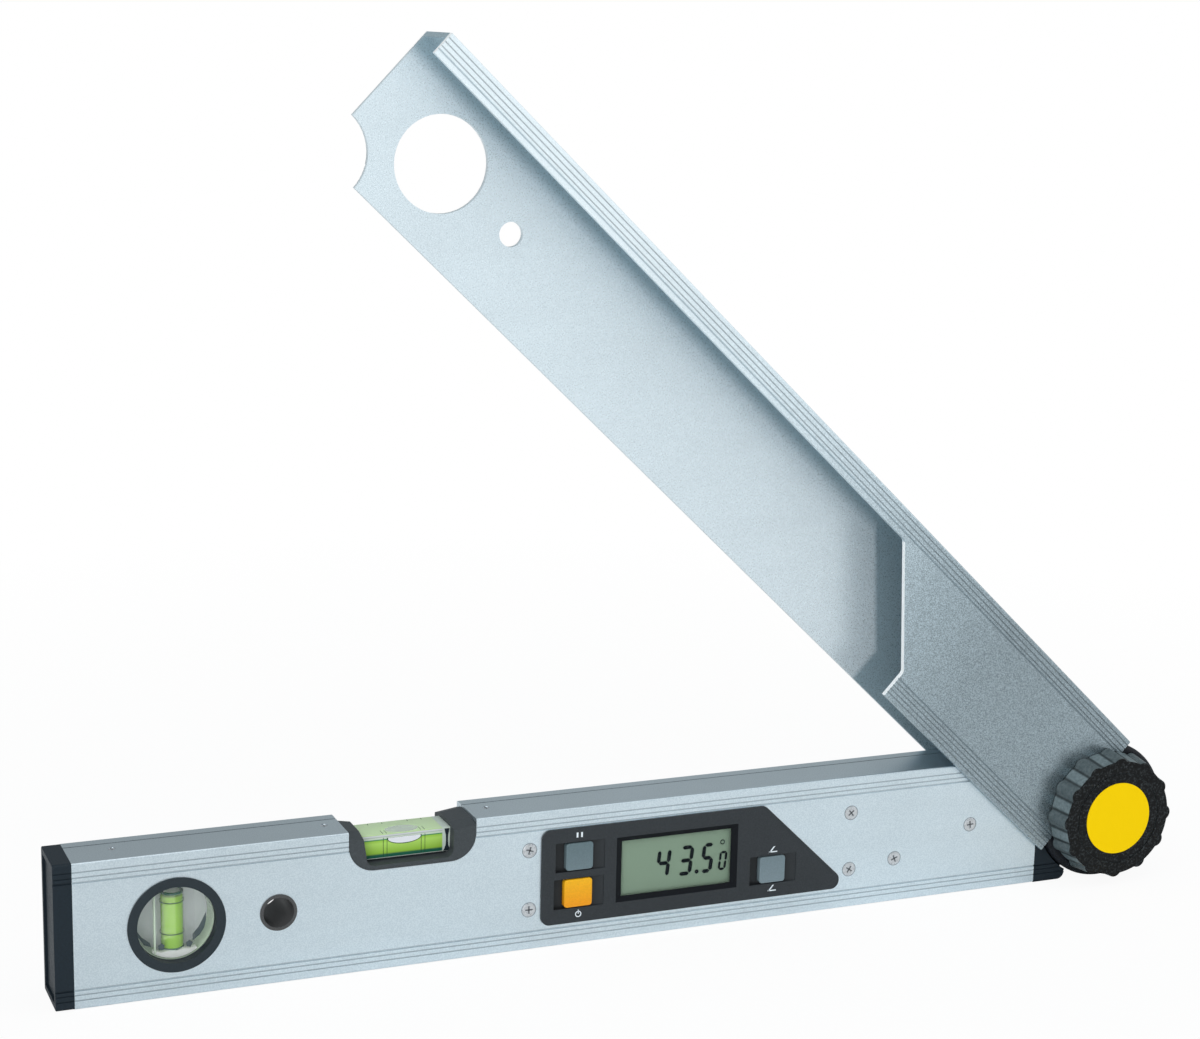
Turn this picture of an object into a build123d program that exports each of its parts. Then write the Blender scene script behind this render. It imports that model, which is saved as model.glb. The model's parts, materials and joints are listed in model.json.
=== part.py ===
from build123d import *
import math
import os

# Digital angle finder: a hollow level bar (lower arm) and a U-shaped arm that folds over it.
# Millimetres. X runs along the bar towards the pivot, Y from the front to the back, Z up.
# The origin is the middle of the bar's base face. The arm is drawn closed, then opened to rest.

# ---- overall ----
REST_ANGLE = 43.5            # opening between the arms at rest, degrees
BAR_LENGTH = 435.0
BAR_HEIGHT = 60.0
BAR_DEPTH = 25.0
BAR_SIDE_WALL = 2.0          # front and back walls
BAR_EDGE_WALL = 2.6          # top and bottom walls
BAR_CORNER = 0.8
PIVOT_BEYOND_BAR = 33.1      # pivot axis past the bar's right end
PIVOT_HEIGHT = 32.0
ARM_CLEARANCE = 0.8          # all round the bar when the arm is closed
ARM_SHORT_OF_BAR = 1.0       # the closed arm ends this far inside the bar's left end
ARM_WALL = 2.5
ARM_WEB = 2.6
ARM_BELOW_PIVOT = 33.2       # pivot axis to the arm's open edge
SEAT = 0.15                  # clearance of a piece pushed into its seat
RUNNING = 0.05               # radial clearance of turning metal fits
GAP = 0.3                    # gap between faces that turn past each other
PAST = 1.0                   # how far a cut runs past the face it opens

# ---- free lengths between the pieces fitted in the bar, shared out to fill it ----
# between the cap, the vertical vial, the hang hole, the saddle, the display and the pivot insert
BAR_GAPS = (1.0, 15.9, 9.6, 9.7, 11.8)

# ---- groove bands of the extrusions ----
BAR_GROOVES = (3.7, 5.9, 7.9)              # from the bar's top or bottom edge
LIP_GROOVES = (2.2, 4.3, 6.4, 8.0)         # from the arm's outer edge
OPEN_EDGE_GROOVES = (2.2, 4.1, 6.0, 7.9, 9.6)   # from the arm's open edge
GROOVE_WIDTH = 0.5
GROOVE_DEPTH = 0.3
EDGE_GROOVE_WIDTH = 0.8      # the deeper line that closes each band
EDGE_GROOVE_DEPTH = 0.5
TOP_GROOVE_FROM_BACK = 6.0
TOP_GROOVE_WIDTH = 0.6

# ---- end cap ----
CAP_LENGTH = 7.4
CAP_SPIGOT = 22.0
CAP_WALL = 2.0
CAP_RECESS = 1.0
CAP_RIM = 2.6
CAP_CORNER = 1.2
CAP_FACE = 3.0               # solid thickness of its end face
CAP_SCREW_PAD = 10.0         # height of the pad that its screw goes into

# ---- top vial ----
SADDLE_LENGTH = 54.4
SADDLE_DEPTH = 17.1
SADDLE_CORNER = 11.0
SADDLE_FLOOR = 2.0
SADDLE_DROP = 0.8            # its top lies this much under the bar's top
SADDLE_LEFT_WALL = 8.0
SADDLE_RIGHT_WALL = 10.0
SADDLE_LEFT_LEAN = 2.4       # the walls open by this much towards the top
SADDLE_RIGHT_LEAN = 0.4
SADDLE_TOP_DIP = 1.4         # its shoulders fall by this much towards the opening
SADDLE_SLOPE_DROP = 2.2      # and slope down to the front and back faces
SADDLE_SLOPE_RUN = 6.2
SADDLE_INNER_CORNER = 3.0
SADDLE_EAR = 12.0            # how far its ears reach under the bar's top wall
SADDLE_EAR_THICKNESS = 5.0
SADDLE_EAR_ROOT = 4.0        # how far the ears reach into its end walls
TOP_VIAL_DEPTH = 15.0
TOP_VIAL_HEIGHT = 10.3
TOP_VIAL_LEDGE = 0.9         # the rail in the saddle's floor that it lies on
TOP_VIAL_LEDGE_INSET = 1.5   # the rail's sides, in from the vial's faces
TOP_VIAL_POCKET = 3.0        # how far its ends sit in the saddle's walls
TOP_VIAL_BORE = 4.3
TOP_VIAL_END = 3.0           # clear wall at the end of the bore
TOP_BUBBLE_LENGTH = 12.6
TOP_BUBBLE_DEPTH = 2.6

# ---- vertical vial ----
PLUMB_RING_RADIUS = 19.6
PLUMB_RING_WINDOW = 15.8
PLUMB_RING_NECK = 17.6
PLUMB_RING_PROUD = 0.6
PLUMB_RING_DEPTH = 3.6       # neck length behind the bar's face
PLUMB_TUBE_RADIUS = 4.8
PLUMB_TUBE_WALL = 0.6
PLUMB_TUBE_LENGTH = 24.4
PLUMB_TUBE_FORWARD = 3.4     # its axis in front of the bar's middle plane
PLUMB_TUBE_DROP = 2.0        # its middle under the window's
PLUMB_TUBE_END = 1.6
PLUMB_BUBBLE = 1.4

# ---- hang hole ----
HANG_BORE_RADIUS = 6.3
GROMMET_RADIUS = 7.6
GROMMET_WALL = 0.7
GROMMET_FLANGE = 0.4
ARM_HOLE_RADIUS = 5.1        # hole in the arm's back wall, in line with the hang hole
ARM_VIAL_WINDOW = 19.7       # hole in the arm's back wall over the vertical vial

# ---- display ----
BEZEL_LENGTH = 140.2
BEZEL_BOTTOM = 9.7
BEZEL_TOP_MARGIN = 8.5       # under the bar's top edge
BEZEL_PROUD = 0.8
BEZEL_FLANGE = 2.0
BEZEL_BACK = 3.0             # how far its body reaches behind the bar's face
BEZEL_CORNER = 4.0
BEZEL_TIP_CORNER = 3.8
BEZEL_TIP_RISE = 5.8         # height of its square right end, under the slanted side
BEZEL_CUT_GAP = 0.6          # bezel to the arm's slanted cut when closed
# free lengths left of the left buttons, of the display's frame and of the right button
PANEL_GAPS = (5.6, 5.4, 6.2)
PANEL_END = 21.5             # bare length at the slanted end
WINDOW_LENGTH = 50.9         # sight opening
WINDOW_HEIGHT = 24.4
WINDOW_BEVEL_X = 2.8         # the sloped frame round the sight opening
WINDOW_BEVEL_Z = 2.2
WINDOW_SUNK = 1.3            # the pane lies this deep under the bezel's face
WINDOW_THICKNESS = 1.0
WINDOW_LEDGE = 1.2           # how far the pane reaches past the opening
LCD_THICKNESS = 2.0
BUTTON_GAP = 0.15
BUTTON_PROUD = 0.5
BUTTON_TRAVEL = 0.6
BUTTON_FLANGE = 0.8
BUTTON_FLANGE_THICKNESS = 0.7
SCOOP_DEPTH = 2.4            # finger recess round a button, at its deep left side
SCOOP_SHALLOW = 0.3          # and at its right side
SCOOP_MARGIN_LEFT = 4.6
SCOOP_MARGIN_RIGHT = 5.4
SCOOP_MARGIN_Z = 0.5
BUTTON_CORNER = 1.4
LEFT_BUTTONS, FRAME, RIGHT_BUTTON = 0, 1, 2     # the order of what the panel holds
# name: (place in that order, shift to the right, centre above the panel's middle, length, height)
BUTTONS = {
    "hold_button": (LEFT_BUTTONS, 0.6, 8.3, 12.2, 11.9),
    "power_button": (LEFT_BUTTONS, 0.0, -7.8, 12.6, 12.2),
    "mode_button": (RIGHT_BUTTON, 0.0, -8.2, 12.2, 11.9),
}
SCREW_ROW_SPACING = 26.0
SCREW_OUT_OF_BEZEL = 5.2
INSERT_SCREWS = ((73.1, 20.0), (35.0, 31.6))   # from the bar's right end, and height

# ---- screws ----
SCREW_RADIUS = 1.5
SCREW_HEAD_RADIUS = 3.1
SCREW_HEAD = 1.4
SCREW_LENGTH = 6.0
CROSS_LENGTH = 3.2
CROSS_WIDTH = 0.7
CROSS_DEPTH = 0.8
CAP_SCREW_FROM_END = 18.0
SADDLE_SCREW_LEFT = 6.9      # out from the saddle's left side
SADDLE_SCREW_RIGHT = 8.5     # out from its right side
TOP_SCREW_RADIUS = 1.5
TOP_SCREW_LENGTH = 6.5
TOP_SCREW_SUNK = 0.2
SLOT_WIDTH = 0.5
SLOT_DEPTH = 0.8

# ---- electronics ----
CHASSIS_MARGIN = 9.0         # past the bezel's body, so that the screws reach it
CHASSIS_THICKNESS = 4.0
CHASSIS_SIDE_GAP = 1.0       # from the bar's top and bottom walls
BOARD_MARGIN = 6.0           # the board inside the chassis, lengthways
BOARD_SIDE_MARGIN = 4.0      # and from the bar's top and bottom walls
BOARD_THICKNESS = 1.6
SWITCH_SIZE = 6.0
CELL_RADIUS = 5.25
CELL_LENGTH = 43.3
CELL_NIPPLE_RADIUS = 1.9
CELL_NIPPLE = 1.2
CELL_GAP = 1.0
CONTACT_THICKNESS = 0.6
CONTACT_SPACE = 2.4
TRAY_WALL = 1.5
TRAY_FROM_BEZEL = 40.0
TRAY_SCREW_WALL = 5.0        # the tray's thicker end, for the cover's screw
CELL_FROM_BACK = 0.5         # from the bar's inner back face
SPRING_RADIUS = 2.5
CONTACT_MARGIN = 1.0         # a contact plate inside the cell's outline
COVER_THICKNESS = 1.8
COVER_SCREW_RADIUS = 1.0
COVER_SCREW_HEAD = 2.0
COVER_SCREW_HEAD_DEPTH = 0.9
COVER_SCREW_LENGTH = 6.0

# ---- pivot ----
INSERT_PLUG = 82.0
INSERT_WALL = 3.0
INSERT_WEB = 2.0             # solid end wall of the plug behind the collar
INSERT_BOSS_RADIUS = 4.0
INSERT_BOSS_DEPTH = 8.0
SENSOR_POCKET_GAP = 0.6
COLLAR_FROM_PIVOT = 16.8     # the collar's right face
COLLAR_CORNER = 3.5
BOSS_RADIUS = 27.5
BOSS_DEPTH = 18.0
HUB_RADIUS = 31.6
HUB_EDGE = 2.4
HUB_TO_CHANNEL = 0.3
CHANNEL_START = 12.3         # pivot axis to the channel's square end
BUSHING_WALL = 2.0
BOLT_RADIUS = 5.0
BOLT_HEAD_RADIUS = 9.0
BOLT_HEAD = 3.0
RING_INNER = 20.6
RING_OUTER = 26.4
RING_THICKNESS = 1.0
SENSOR_INNER = 9.6
SENSOR_OUTER = 19.4
SENSOR_BOARD = 1.2
SENSOR_AIR = 0.4
SENSOR_ROTOR = 2.0
CABLE_WIDTH = 8.0
CABLE_THICKNESS = 0.6
CABLE_LAP = 2.0              # how far the cable reaches under the sensor board

# ---- the arm's cut-away front wall ----
LIP_HEIGHT = 10.4
CUT_SLANT = 45.9             # the cut and the display's slanted side, from square, degrees
CUT_SQUARE_FROM_TIP = 4.6    # the cut's last stretch, square to the arm, right of that tip
CUT_ROUND = 3.0
NOTCH_RADIUS = 20.0

# ---- locking knob ----
KNOB_BACK_RADIUS = 29.4
KNOB_FRONT_RADIUS = 28.0
KNOB_DEPTH = 12.0
KNOB_RIDGES = 12
KNOB_RIDGE_RADIUS = 3.8
KNOB_RIDGE_HEIGHT = 1.5
KNOB_RIDGE_FOOT = 0.6        # rounding between a ridge and the hollow beside it
KNOB_EDGE = 0.4
KNOB_WALL = 3.4
KNOB_CORE_RADIUS = 11.0
KNOB_HOLLOW = 7.0
LABEL_RADIUS = 16.6
LABEL_THICKNESS = 0.5
LABEL_RAISED = 0.1
FACE_RING_RADIUS = 21.3
FACE_RING_WIDTH = 0.5
FACE_RING_DEPTH = 0.3
NUT_RADIUS = 7.5
NUT_LENGTH = 8.0
WASHER_RADIUS = 9.5
WASHER_THICKNESS = 1.0
RIVET_RADIUS = 2.0
RIVET_CIRCLE = 23.0
RIVET_ANGLES = (145.0, 180.0, 215.0)

# ---- derived places ----
BAR_LEFT = -BAR_LENGTH / 2
BAR_RIGHT = BAR_LENGTH / 2
FRONT = -BAR_DEPTH / 2
BACK = BAR_DEPTH / 2
FRONT_IN = FRONT + BAR_SIDE_WALL
BACK_IN = BACK - BAR_SIDE_WALL
MID_HEIGHT = BAR_HEIGHT / 2
PIVOT_X = BAR_RIGHT + PIVOT_BEYOND_BAR
ARM_INSIDE = BAR_DEPTH / 2 + ARM_CLEARANCE      # half width between the arm's walls
ARM_OUTSIDE = ARM_INSIDE + ARM_WALL
WEB_IN = BAR_HEIGHT - PIVOT_HEIGHT + ARM_CLEARANCE
ARM_TOP = WEB_IN + ARM_WEB
KNOB_BACK = -ARM_OUTSIDE - GAP
KNOB_FRONT = KNOB_BACK - KNOB_DEPTH
ARM_LENGTH = BAR_LENGTH + PIVOT_BEYOND_BAR - ARM_SHORT_OF_BAR
BEZEL_TOP = BAR_HEIGHT - BEZEL_TOP_MARGIN
BEZEL_MIDDLE = (BEZEL_BOTTOM + BEZEL_TOP) / 2
BEZEL_FRONT = FRONT - BEZEL_PROUD
BEZEL_REAR = FRONT + BEZEL_BACK
WINDOW_FRONT = BEZEL_FRONT + WINDOW_SUNK
CHASSIS_BACK = FRONT_IN + CHASSIS_THICKNESS
BOARD_BACK = CHASSIS_BACK + BOARD_THICKNESS
CHEEK_IN = BOSS_DEPTH / 2 + GAP + RING_THICKNESS
FITTED = (
    CAP_SPIGOT,
    2 * PLUMB_RING_NECK,
    2 * GROMMET_RADIUS,
    SADDLE_LENGTH + 2 * SADDLE_EAR,
    BEZEL_LENGTH - 2 * BEZEL_FLANGE + 2 * CHASSIS_MARGIN,
    INSERT_PLUG,
)
GAP_STRETCH = (BAR_LENGTH - sum(FITTED)) / sum(BAR_GAPS)


def fitted_middle(place):
    """X of the middle of a piece fitted in the bar, by its place in FITTED."""
    return BAR_LEFT + sum(FITTED[:place]) + GAP_STRETCH * sum(BAR_GAPS[:place]) + FITTED[place] / 2


PLUMB_X = fitted_middle(1)
HANG_X = fitted_middle(2)
SADDLE_LEFT = fitted_middle(3) - SADDLE_LENGTH / 2
SADDLE_RIGHT = SADDLE_LEFT + SADDLE_LENGTH
BEZEL_LEFT = fitted_middle(4) - BEZEL_LENGTH / 2
BEZEL_RIGHT = BEZEL_LEFT + BEZEL_LENGTH
LIP_EDGE = PIVOT_HEIGHT + ARM_TOP - LIP_HEIGHT
CUT_SQUARE = PIVOT_X - BEZEL_RIGHT - CUT_SQUARE_FROM_TIP
SADDLE_BOTTOM = BAR_HEIGHT - SADDLE_DEPTH
ARM_PLACE = Pos(PIVOT_X, 0, PIVOT_HEIGHT) * Rot(0, REST_ANGLE, 0)


# ---- helpers ----
def block(x0, x1, y0, y1, z0, z1):
    return Pos(x0, y0, z0) * Box(x1 - x0, y1 - y0, z1 - z0, align=(Align.MIN,) * 3)


def rod_y(x, z, radius, y0, y1):
    place = Pos(x, y0, z) * Rot(-90, 0, 0)
    return place * Cylinder(radius, y1 - y0, align=(Align.CENTER, Align.CENTER, Align.MIN))


def rod_z(x, y, radius, z0, z1):
    return Pos(x, y, z0) * Cylinder(radius, z1 - z0, align=(Align.CENTER, Align.CENTER, Align.MIN))


def rod_x(y, z, radius, x0, x1):
    place = Pos(x0, y, z) * Rot(0, 90, 0)
    return place * Cylinder(radius, x1 - x0, align=(Align.CENTER, Align.CENTER, Align.MIN))


def ring_y(x, z, outer, inner, y0, y1):
    return rod_y(x, z, outer, y0, y1) - rod_y(x, z, inner, y0 - PAST, y1 + PAST)


def slab_y(outline, y0, y1):
    """Extrude a flat outline, drawn as (x, z), from y0 to y1."""
    plane = Plane(origin=(0, y1, 0), x_dir=(1, 0, 0), z_dir=(0, -1, 0))
    return extrude(plane * outline, amount=y1 - y0)


def polygon(points):
    return make_face(Polyline(*points, close=True))


def rounded_block(x0, x1, y0, y1, z0, z1, radius):
    outline = Pos((x0 + x1) / 2, (z0 + z1) / 2) * RectangleRounded(x1 - x0, z1 - z0, radius)
    return slab_y(outline, y0, y1)


def groove_cuts(x0, x1, edge_z, inwards, face_y, depth_sign, offsets):
    """Shallow grooves along a face, at the given distances from an edge. The last one is deeper."""
    cuts = []
    for place, offset in enumerate(offsets):
        last = place == len(offsets) - 1
        width = EDGE_GROOVE_WIDTH if last else GROOVE_WIDTH
        depth = EDGE_GROOVE_DEPTH if last else GROOVE_DEPTH
        z = edge_z + inwards * offset
        low, high = sorted((face_y - depth_sign * depth, face_y + depth_sign * depth))
        cuts.append(block(x0, x1, low, high, z - width / 2, z + width / 2))
    return cuts


def bar_groove_cuts(x0, x1):
    cuts = []
    for face_y in (FRONT, BACK):
        for edge_z, inwards in ((BAR_HEIGHT, -1), (0.0, 1)):
            cuts += groove_cuts(x0, x1, edge_z, inwards, face_y, 1, BAR_GROOVES)
    return cuts


def bar_section(inset, x0, x1):
    """The bar's cavity section, taken in by a clearance, as a solid from x0 to x1."""
    return block(
        x0,
        x1,
        FRONT_IN + inset,
        BACK_IN - inset,
        BAR_EDGE_WALL + inset,
        BAR_HEIGHT - BAR_EDGE_WALL - inset,
    )


# ---- places shared by several pieces ----
def display_screw_places():
    for x in (BEZEL_LEFT - SCREW_OUT_OF_BEZEL, BEZEL_RIGHT + SCREW_OUT_OF_BEZEL):
        for side in (-0.5, 0.5):
            yield x, BEZEL_MIDDLE + side * SCREW_ROW_SPACING


def top_screw_places():
    yield BAR_LEFT + CAP_SCREW_FROM_END
    yield SADDLE_LEFT - SADDLE_SCREW_LEFT
    yield SADDLE_RIGHT + SADDLE_SCREW_RIGHT


def insert_screw_places():
    for from_end, height in INSERT_SCREWS:
        yield BAR_RIGHT - from_end, height


def slant_x(height, outwards=0.0):
    """X of the display's slanted side at a height, moved square to itself by a distance."""
    turn = math.radians(CUT_SLANT)
    rise = height - BEZEL_BOTTOM - BEZEL_TIP_RISE
    return BEZEL_RIGHT - rise * math.tan(turn) + outwards / math.cos(turn)


def bezel_outline(inset):
    """The panel's outline: square at the left, slanted at the right along the arm's cut."""
    low = BEZEL_BOTTOM + inset
    high = BEZEL_TOP - inset
    left = BEZEL_LEFT + inset
    right = BEZEL_RIGHT - inset
    top_right = slant_x(high, -inset)
    turn_height = high - (right - top_right) / math.tan(math.radians(CUT_SLANT))
    points = [(left, low), (right, low), (right, turn_height), (top_right, high), (left, high)]
    outline = polygon(points)
    corner = BEZEL_CORNER - inset
    tip = BEZEL_TIP_CORNER - inset
    rounded = (
        (points[0], corner),
        (points[4], corner),
        (points[3], corner),
        (points[2], tip),
        (points[1], tip),
    )
    for point, radius in rounded:
        nearest = outline.vertices().sort_by_distance((point[0], point[1], 0))[0]
        outline = fillet([nearest], radius)
    return outline


def panel_left(place):
    """X of the left edge of what the panel holds: its free length is shared out between them."""
    margins = SCOOP_MARGIN_LEFT + SCOOP_MARGIN_RIGHT
    left_buttons = (spec for spec in BUTTONS.values() if spec[0] == LEFT_BUTTONS)
    lengths = (
        max(spec[1] + spec[3] for spec in left_buttons) + margins,
        WINDOW_LENGTH + 2 * WINDOW_BEVEL_X,
        BUTTONS["mode_button"][3] + margins,
    )
    stretch = (BEZEL_LENGTH - PANEL_END - sum(lengths)) / sum(PANEL_GAPS)
    return BEZEL_LEFT + sum(lengths[:place]) + stretch * sum(PANEL_GAPS[: place + 1])


def button_box(name):
    place, shift, middle, length, height = BUTTONS[name]
    x0 = panel_left(place) + SCOOP_MARGIN_LEFT + shift
    z0 = BEZEL_MIDDLE + middle - height / 2
    return x0, x0 + length, z0, z0 + height


def window_box(margin=0.0):
    x0 = panel_left(FRAME) + WINDOW_BEVEL_X - margin
    z0 = BEZEL_MIDDLE - WINDOW_HEIGHT / 2 - margin
    return x0, x0 + WINDOW_LENGTH + 2 * margin, z0, z0 + WINDOW_HEIGHT + 2 * margin


def tray_box():
    x0 = BEZEL_LEFT + TRAY_FROM_BEZEL
    length = CELL_LENGTH + CELL_NIPPLE + 2 * CONTACT_SPACE + TRAY_WALL + TRAY_SCREW_WALL
    height = 4 * CELL_RADIUS + 3 * CELL_GAP + 2 * TRAY_WALL
    return x0, x0 + length, MID_HEIGHT - height / 2, MID_HEIGHT + height / 2


def cell_places():
    """Height of each cell, and which way its raised end points."""
    shift = CELL_RADIUS + CELL_GAP / 2
    return ((MID_HEIGHT - shift, 1), (MID_HEIGHT + shift, -1))


# ---- lower arm ----
def saddle_outline(inset):
    corner = SADDLE_CORNER - inset
    left, right = SADDLE_LEFT + inset, SADDLE_RIGHT - inset
    low, high = SADDLE_BOTTOM + inset, BAR_HEIGHT + PAST
    outline = polygon([(left, low), (right, low), (right, high), (left, high)])
    low_corners = outline.vertices().sort_by(Axis.Y)[:2]
    return fillet(low_corners, corner)


def lower_arm_extrusion():
    section = Pos(0, MID_HEIGHT) * RectangleRounded(BAR_DEPTH, BAR_HEIGHT, BAR_CORNER)
    plane = Plane(origin=(BAR_LEFT, 0, 0), x_dir=(0, 1, 0), z_dir=(1, 0, 0))
    bar = extrude(plane * section, amount=BAR_LENGTH)
    bar -= bar_section(0.0, BAR_LEFT - PAST, BAR_RIGHT + PAST)
    groove_y = BACK - TOP_GROOVE_FROM_BACK
    cuts = bar_groove_cuts(BAR_LEFT - PAST, BAR_RIGHT + PAST)
    cuts.append(
        block(
            BAR_LEFT - PAST,
            BAR_RIGHT + PAST,
            groove_y - TOP_GROOVE_WIDTH / 2,
            groove_y + TOP_GROOVE_WIDTH / 2,
            BAR_HEIGHT - GROOVE_DEPTH,
            BAR_HEIGHT + PAST,
        )
    )
    cuts.append(slab_y(saddle_outline(0.0), FRONT - PAST, BACK + PAST))
    cuts.append(rod_y(PLUMB_X, MID_HEIGHT, PLUMB_RING_NECK + SEAT, FRONT - PAST, BACK + PAST))
    sleeve = HANG_BORE_RADIUS + GROMMET_WALL
    cuts.append(rod_y(HANG_X, MID_HEIGHT, sleeve + SEAT, FRONT - PAST, BACK + PAST))
    cuts.append(slab_y(bezel_outline(BEZEL_FLANGE), FRONT - PAST, FRONT_IN + PAST))
    for x, z in list(display_screw_places()) + list(insert_screw_places()):
        cuts.append(rod_y(x, z, SCREW_HEAD_RADIUS + SEAT, FRONT - PAST, FRONT + SCREW_HEAD))
        cuts.append(rod_y(x, z, SCREW_RADIUS + SEAT, FRONT - PAST, FRONT_IN + PAST))
    under_top = BAR_HEIGHT - BAR_EDGE_WALL - PAST
    for x in top_screw_places():
        cuts.append(rod_z(x, 0, TOP_SCREW_RADIUS + RUNNING, under_top, BAR_HEIGHT + PAST))
    x0, x1, z0, z1 = tray_box()
    cuts.append(block(x0 - SEAT, x1 + SEAT, BACK_IN - PAST, BACK + PAST, z0 - SEAT, z1 + SEAT))
    return bar - cuts


def end_cap():
    left = BAR_LEFT - CAP_LENGTH
    section = Pos(0, MID_HEIGHT) * RectangleRounded(BAR_DEPTH, BAR_HEIGHT, CAP_CORNER)
    plane = Plane(origin=(left, 0, 0), x_dir=(0, 1, 0), z_dir=(1, 0, 0))
    cap = extrude(plane * section, amount=CAP_LENGTH)
    cap = fillet(cap.faces().sort_by(Axis.X)[0].edges(), CAP_RECESS / 2)
    cap -= block(
        left - PAST,
        left + CAP_RECESS,
        FRONT + CAP_RIM,
        BACK - CAP_RIM,
        CAP_RIM,
        BAR_HEIGHT - CAP_RIM,
    )
    spigot = bar_section(SEAT, left + CAP_FACE, BAR_LEFT + CAP_SPIGOT)
    spigot_end = BAR_LEFT + CAP_SPIGOT
    hollow = bar_section(SEAT + CAP_WALL, left + CAP_FACE, spigot_end + PAST)
    screw_x = BAR_LEFT + CAP_SCREW_FROM_END
    pad = bar_section(SEAT, 2 * screw_x - spigot_end, spigot_end)
    pad -= block(left, spigot_end + PAST, FRONT, BACK, 0, BAR_HEIGHT - CAP_SCREW_PAD)
    cap = cap + spigot - hollow + pad
    cap -= rod_z(screw_x, 0, TOP_SCREW_RADIUS + RUNNING, BAR_HEIGHT - TOP_SCREW_LENGTH, BAR_HEIGHT)
    return cap - bar_groove_cuts(left - PAST, BAR_LEFT)


def top_vial_box():
    middle = (SADDLE_LEFT + SADDLE_LEFT_WALL + SADDLE_RIGHT - SADDLE_RIGHT_WALL) / 2
    inside = SADDLE_LENGTH - SADDLE_LEFT_WALL - SADDLE_RIGHT_WALL
    half = inside / 2 + TOP_VIAL_POCKET
    floor = SADDLE_BOTTOM + SADDLE_FLOOR + TOP_VIAL_LEDGE
    return middle - half, middle + half, floor, floor + TOP_VIAL_HEIGHT


def shoulder_slope(x_outer, z_outer, x_inner, z_inner, side):
    """What is cut off one shoulder, on its front side (-1) or its back side (1)."""
    face = side * (BAR_DEPTH / 2 + PAST)
    crest = side * (BAR_DEPTH / 2 - SADDLE_SLOPE_RUN)
    ends = []
    for x, z in ((x_outer, z_outer), (x_inner, z_inner)):
        over = z + SADDLE_SLOPE_DROP
        outline = polygon([(face, z - SADDLE_SLOPE_DROP), (face, over), (crest, over), (crest, z)])
        ends.append(Plane(origin=(x, 0, 0), x_dir=(0, 1, 0), z_dir=(1, 0, 0)) * outline)
    return loft(ends, ruled=True)


def top_vial_saddle():
    saddle = slab_y(saddle_outline(SEAT), FRONT, BACK)
    top = BAR_HEIGHT - SADDLE_DROP
    floor = SADDLE_BOTTOM + SADDLE_FLOOR
    left = SADDLE_LEFT + SADDLE_LEFT_WALL
    right = SADDLE_RIGHT - SADDLE_RIGHT_WALL
    over = polygon(
        [
            (SADDLE_LEFT, top),
            (left, top - SADDLE_TOP_DIP),
            (right, top - SADDLE_TOP_DIP),
            (SADDLE_RIGHT, top),
            (SADDLE_RIGHT, BAR_HEIGHT + 2 * PAST),
            (SADDLE_LEFT, BAR_HEIGHT + 2 * PAST),
        ]
    )
    saddle -= slab_y(over, FRONT - PAST, BACK + PAST)
    opening = polygon(
        [
            (left, floor),
            (right, floor),
            (right + SADDLE_RIGHT_LEAN, BAR_HEIGHT + PAST),
            (left - SADDLE_LEFT_LEAN, BAR_HEIGHT + PAST),
        ]
    )
    opening = fillet(opening.vertices().sort_by(Axis.Y)[:2], SADDLE_INNER_CORNER)
    saddle -= slab_y(opening, FRONT - PAST, BACK + PAST)
    for side in (-1, 1):
        for x_outer, x_inner in ((SADDLE_LEFT, left), (SADDLE_RIGHT, right)):
            saddle -= shoulder_slope(x_outer, top, x_inner, top - SADDLE_TOP_DIP, side)
    x0, x1, z0, z1 = top_vial_box()
    half = TOP_VIAL_DEPTH / 2
    rail = half - TOP_VIAL_LEDGE_INSET
    saddle += block(x0, x1, -rail, rail, floor, z0)
    saddle -= block(x0, x1, -half, half, z0, z1)
    ear_top = BAR_HEIGHT - BAR_EDGE_WALL - SEAT
    ear_low = ear_top - SADDLE_EAR_THICKNESS
    for x_from, x_to in (
        (SADDLE_LEFT - SADDLE_EAR, SADDLE_LEFT + SADDLE_EAR_ROOT),
        (SADDLE_RIGHT - SADDLE_EAR_ROOT, SADDLE_RIGHT + SADDLE_EAR),
    ):
        saddle += block(x_from, x_to, FRONT_IN + SEAT, BACK_IN - SEAT, ear_low, ear_top)
    for x in list(top_screw_places())[1:]:
        saddle -= rod_z(x, 0, TOP_SCREW_RADIUS + RUNNING, BAR_HEIGHT - TOP_SCREW_LENGTH, BAR_HEIGHT)
    return saddle


def top_vial_block():
    x0, x1, z0, z1 = top_vial_box()
    half = TOP_VIAL_DEPTH / 2
    vial = block(x0, x1, -half, half, z0, z1)
    middle = (z0 + z1) / 2
    return vial - rod_x(0, middle, TOP_VIAL_BORE, x0 + TOP_VIAL_END, x1 - TOP_VIAL_END)


def top_vial_liquid():
    x0, x1, z0, z1 = top_vial_box()
    middle = (z0 + z1) / 2
    liquid = rod_x(0, middle, TOP_VIAL_BORE, x0 + TOP_VIAL_END, x1 - TOP_VIAL_END)
    half = TOP_BUBBLE_LENGTH / 2
    radius = (half * half + TOP_BUBBLE_DEPTH * TOP_BUBBLE_DEPTH) / (2 * TOP_BUBBLE_DEPTH)
    top = middle + TOP_VIAL_BORE
    bubble = rod_y((x0 + x1) / 2, top - TOP_BUBBLE_DEPTH + radius, radius, -half, half)
    return liquid - bubble


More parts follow.
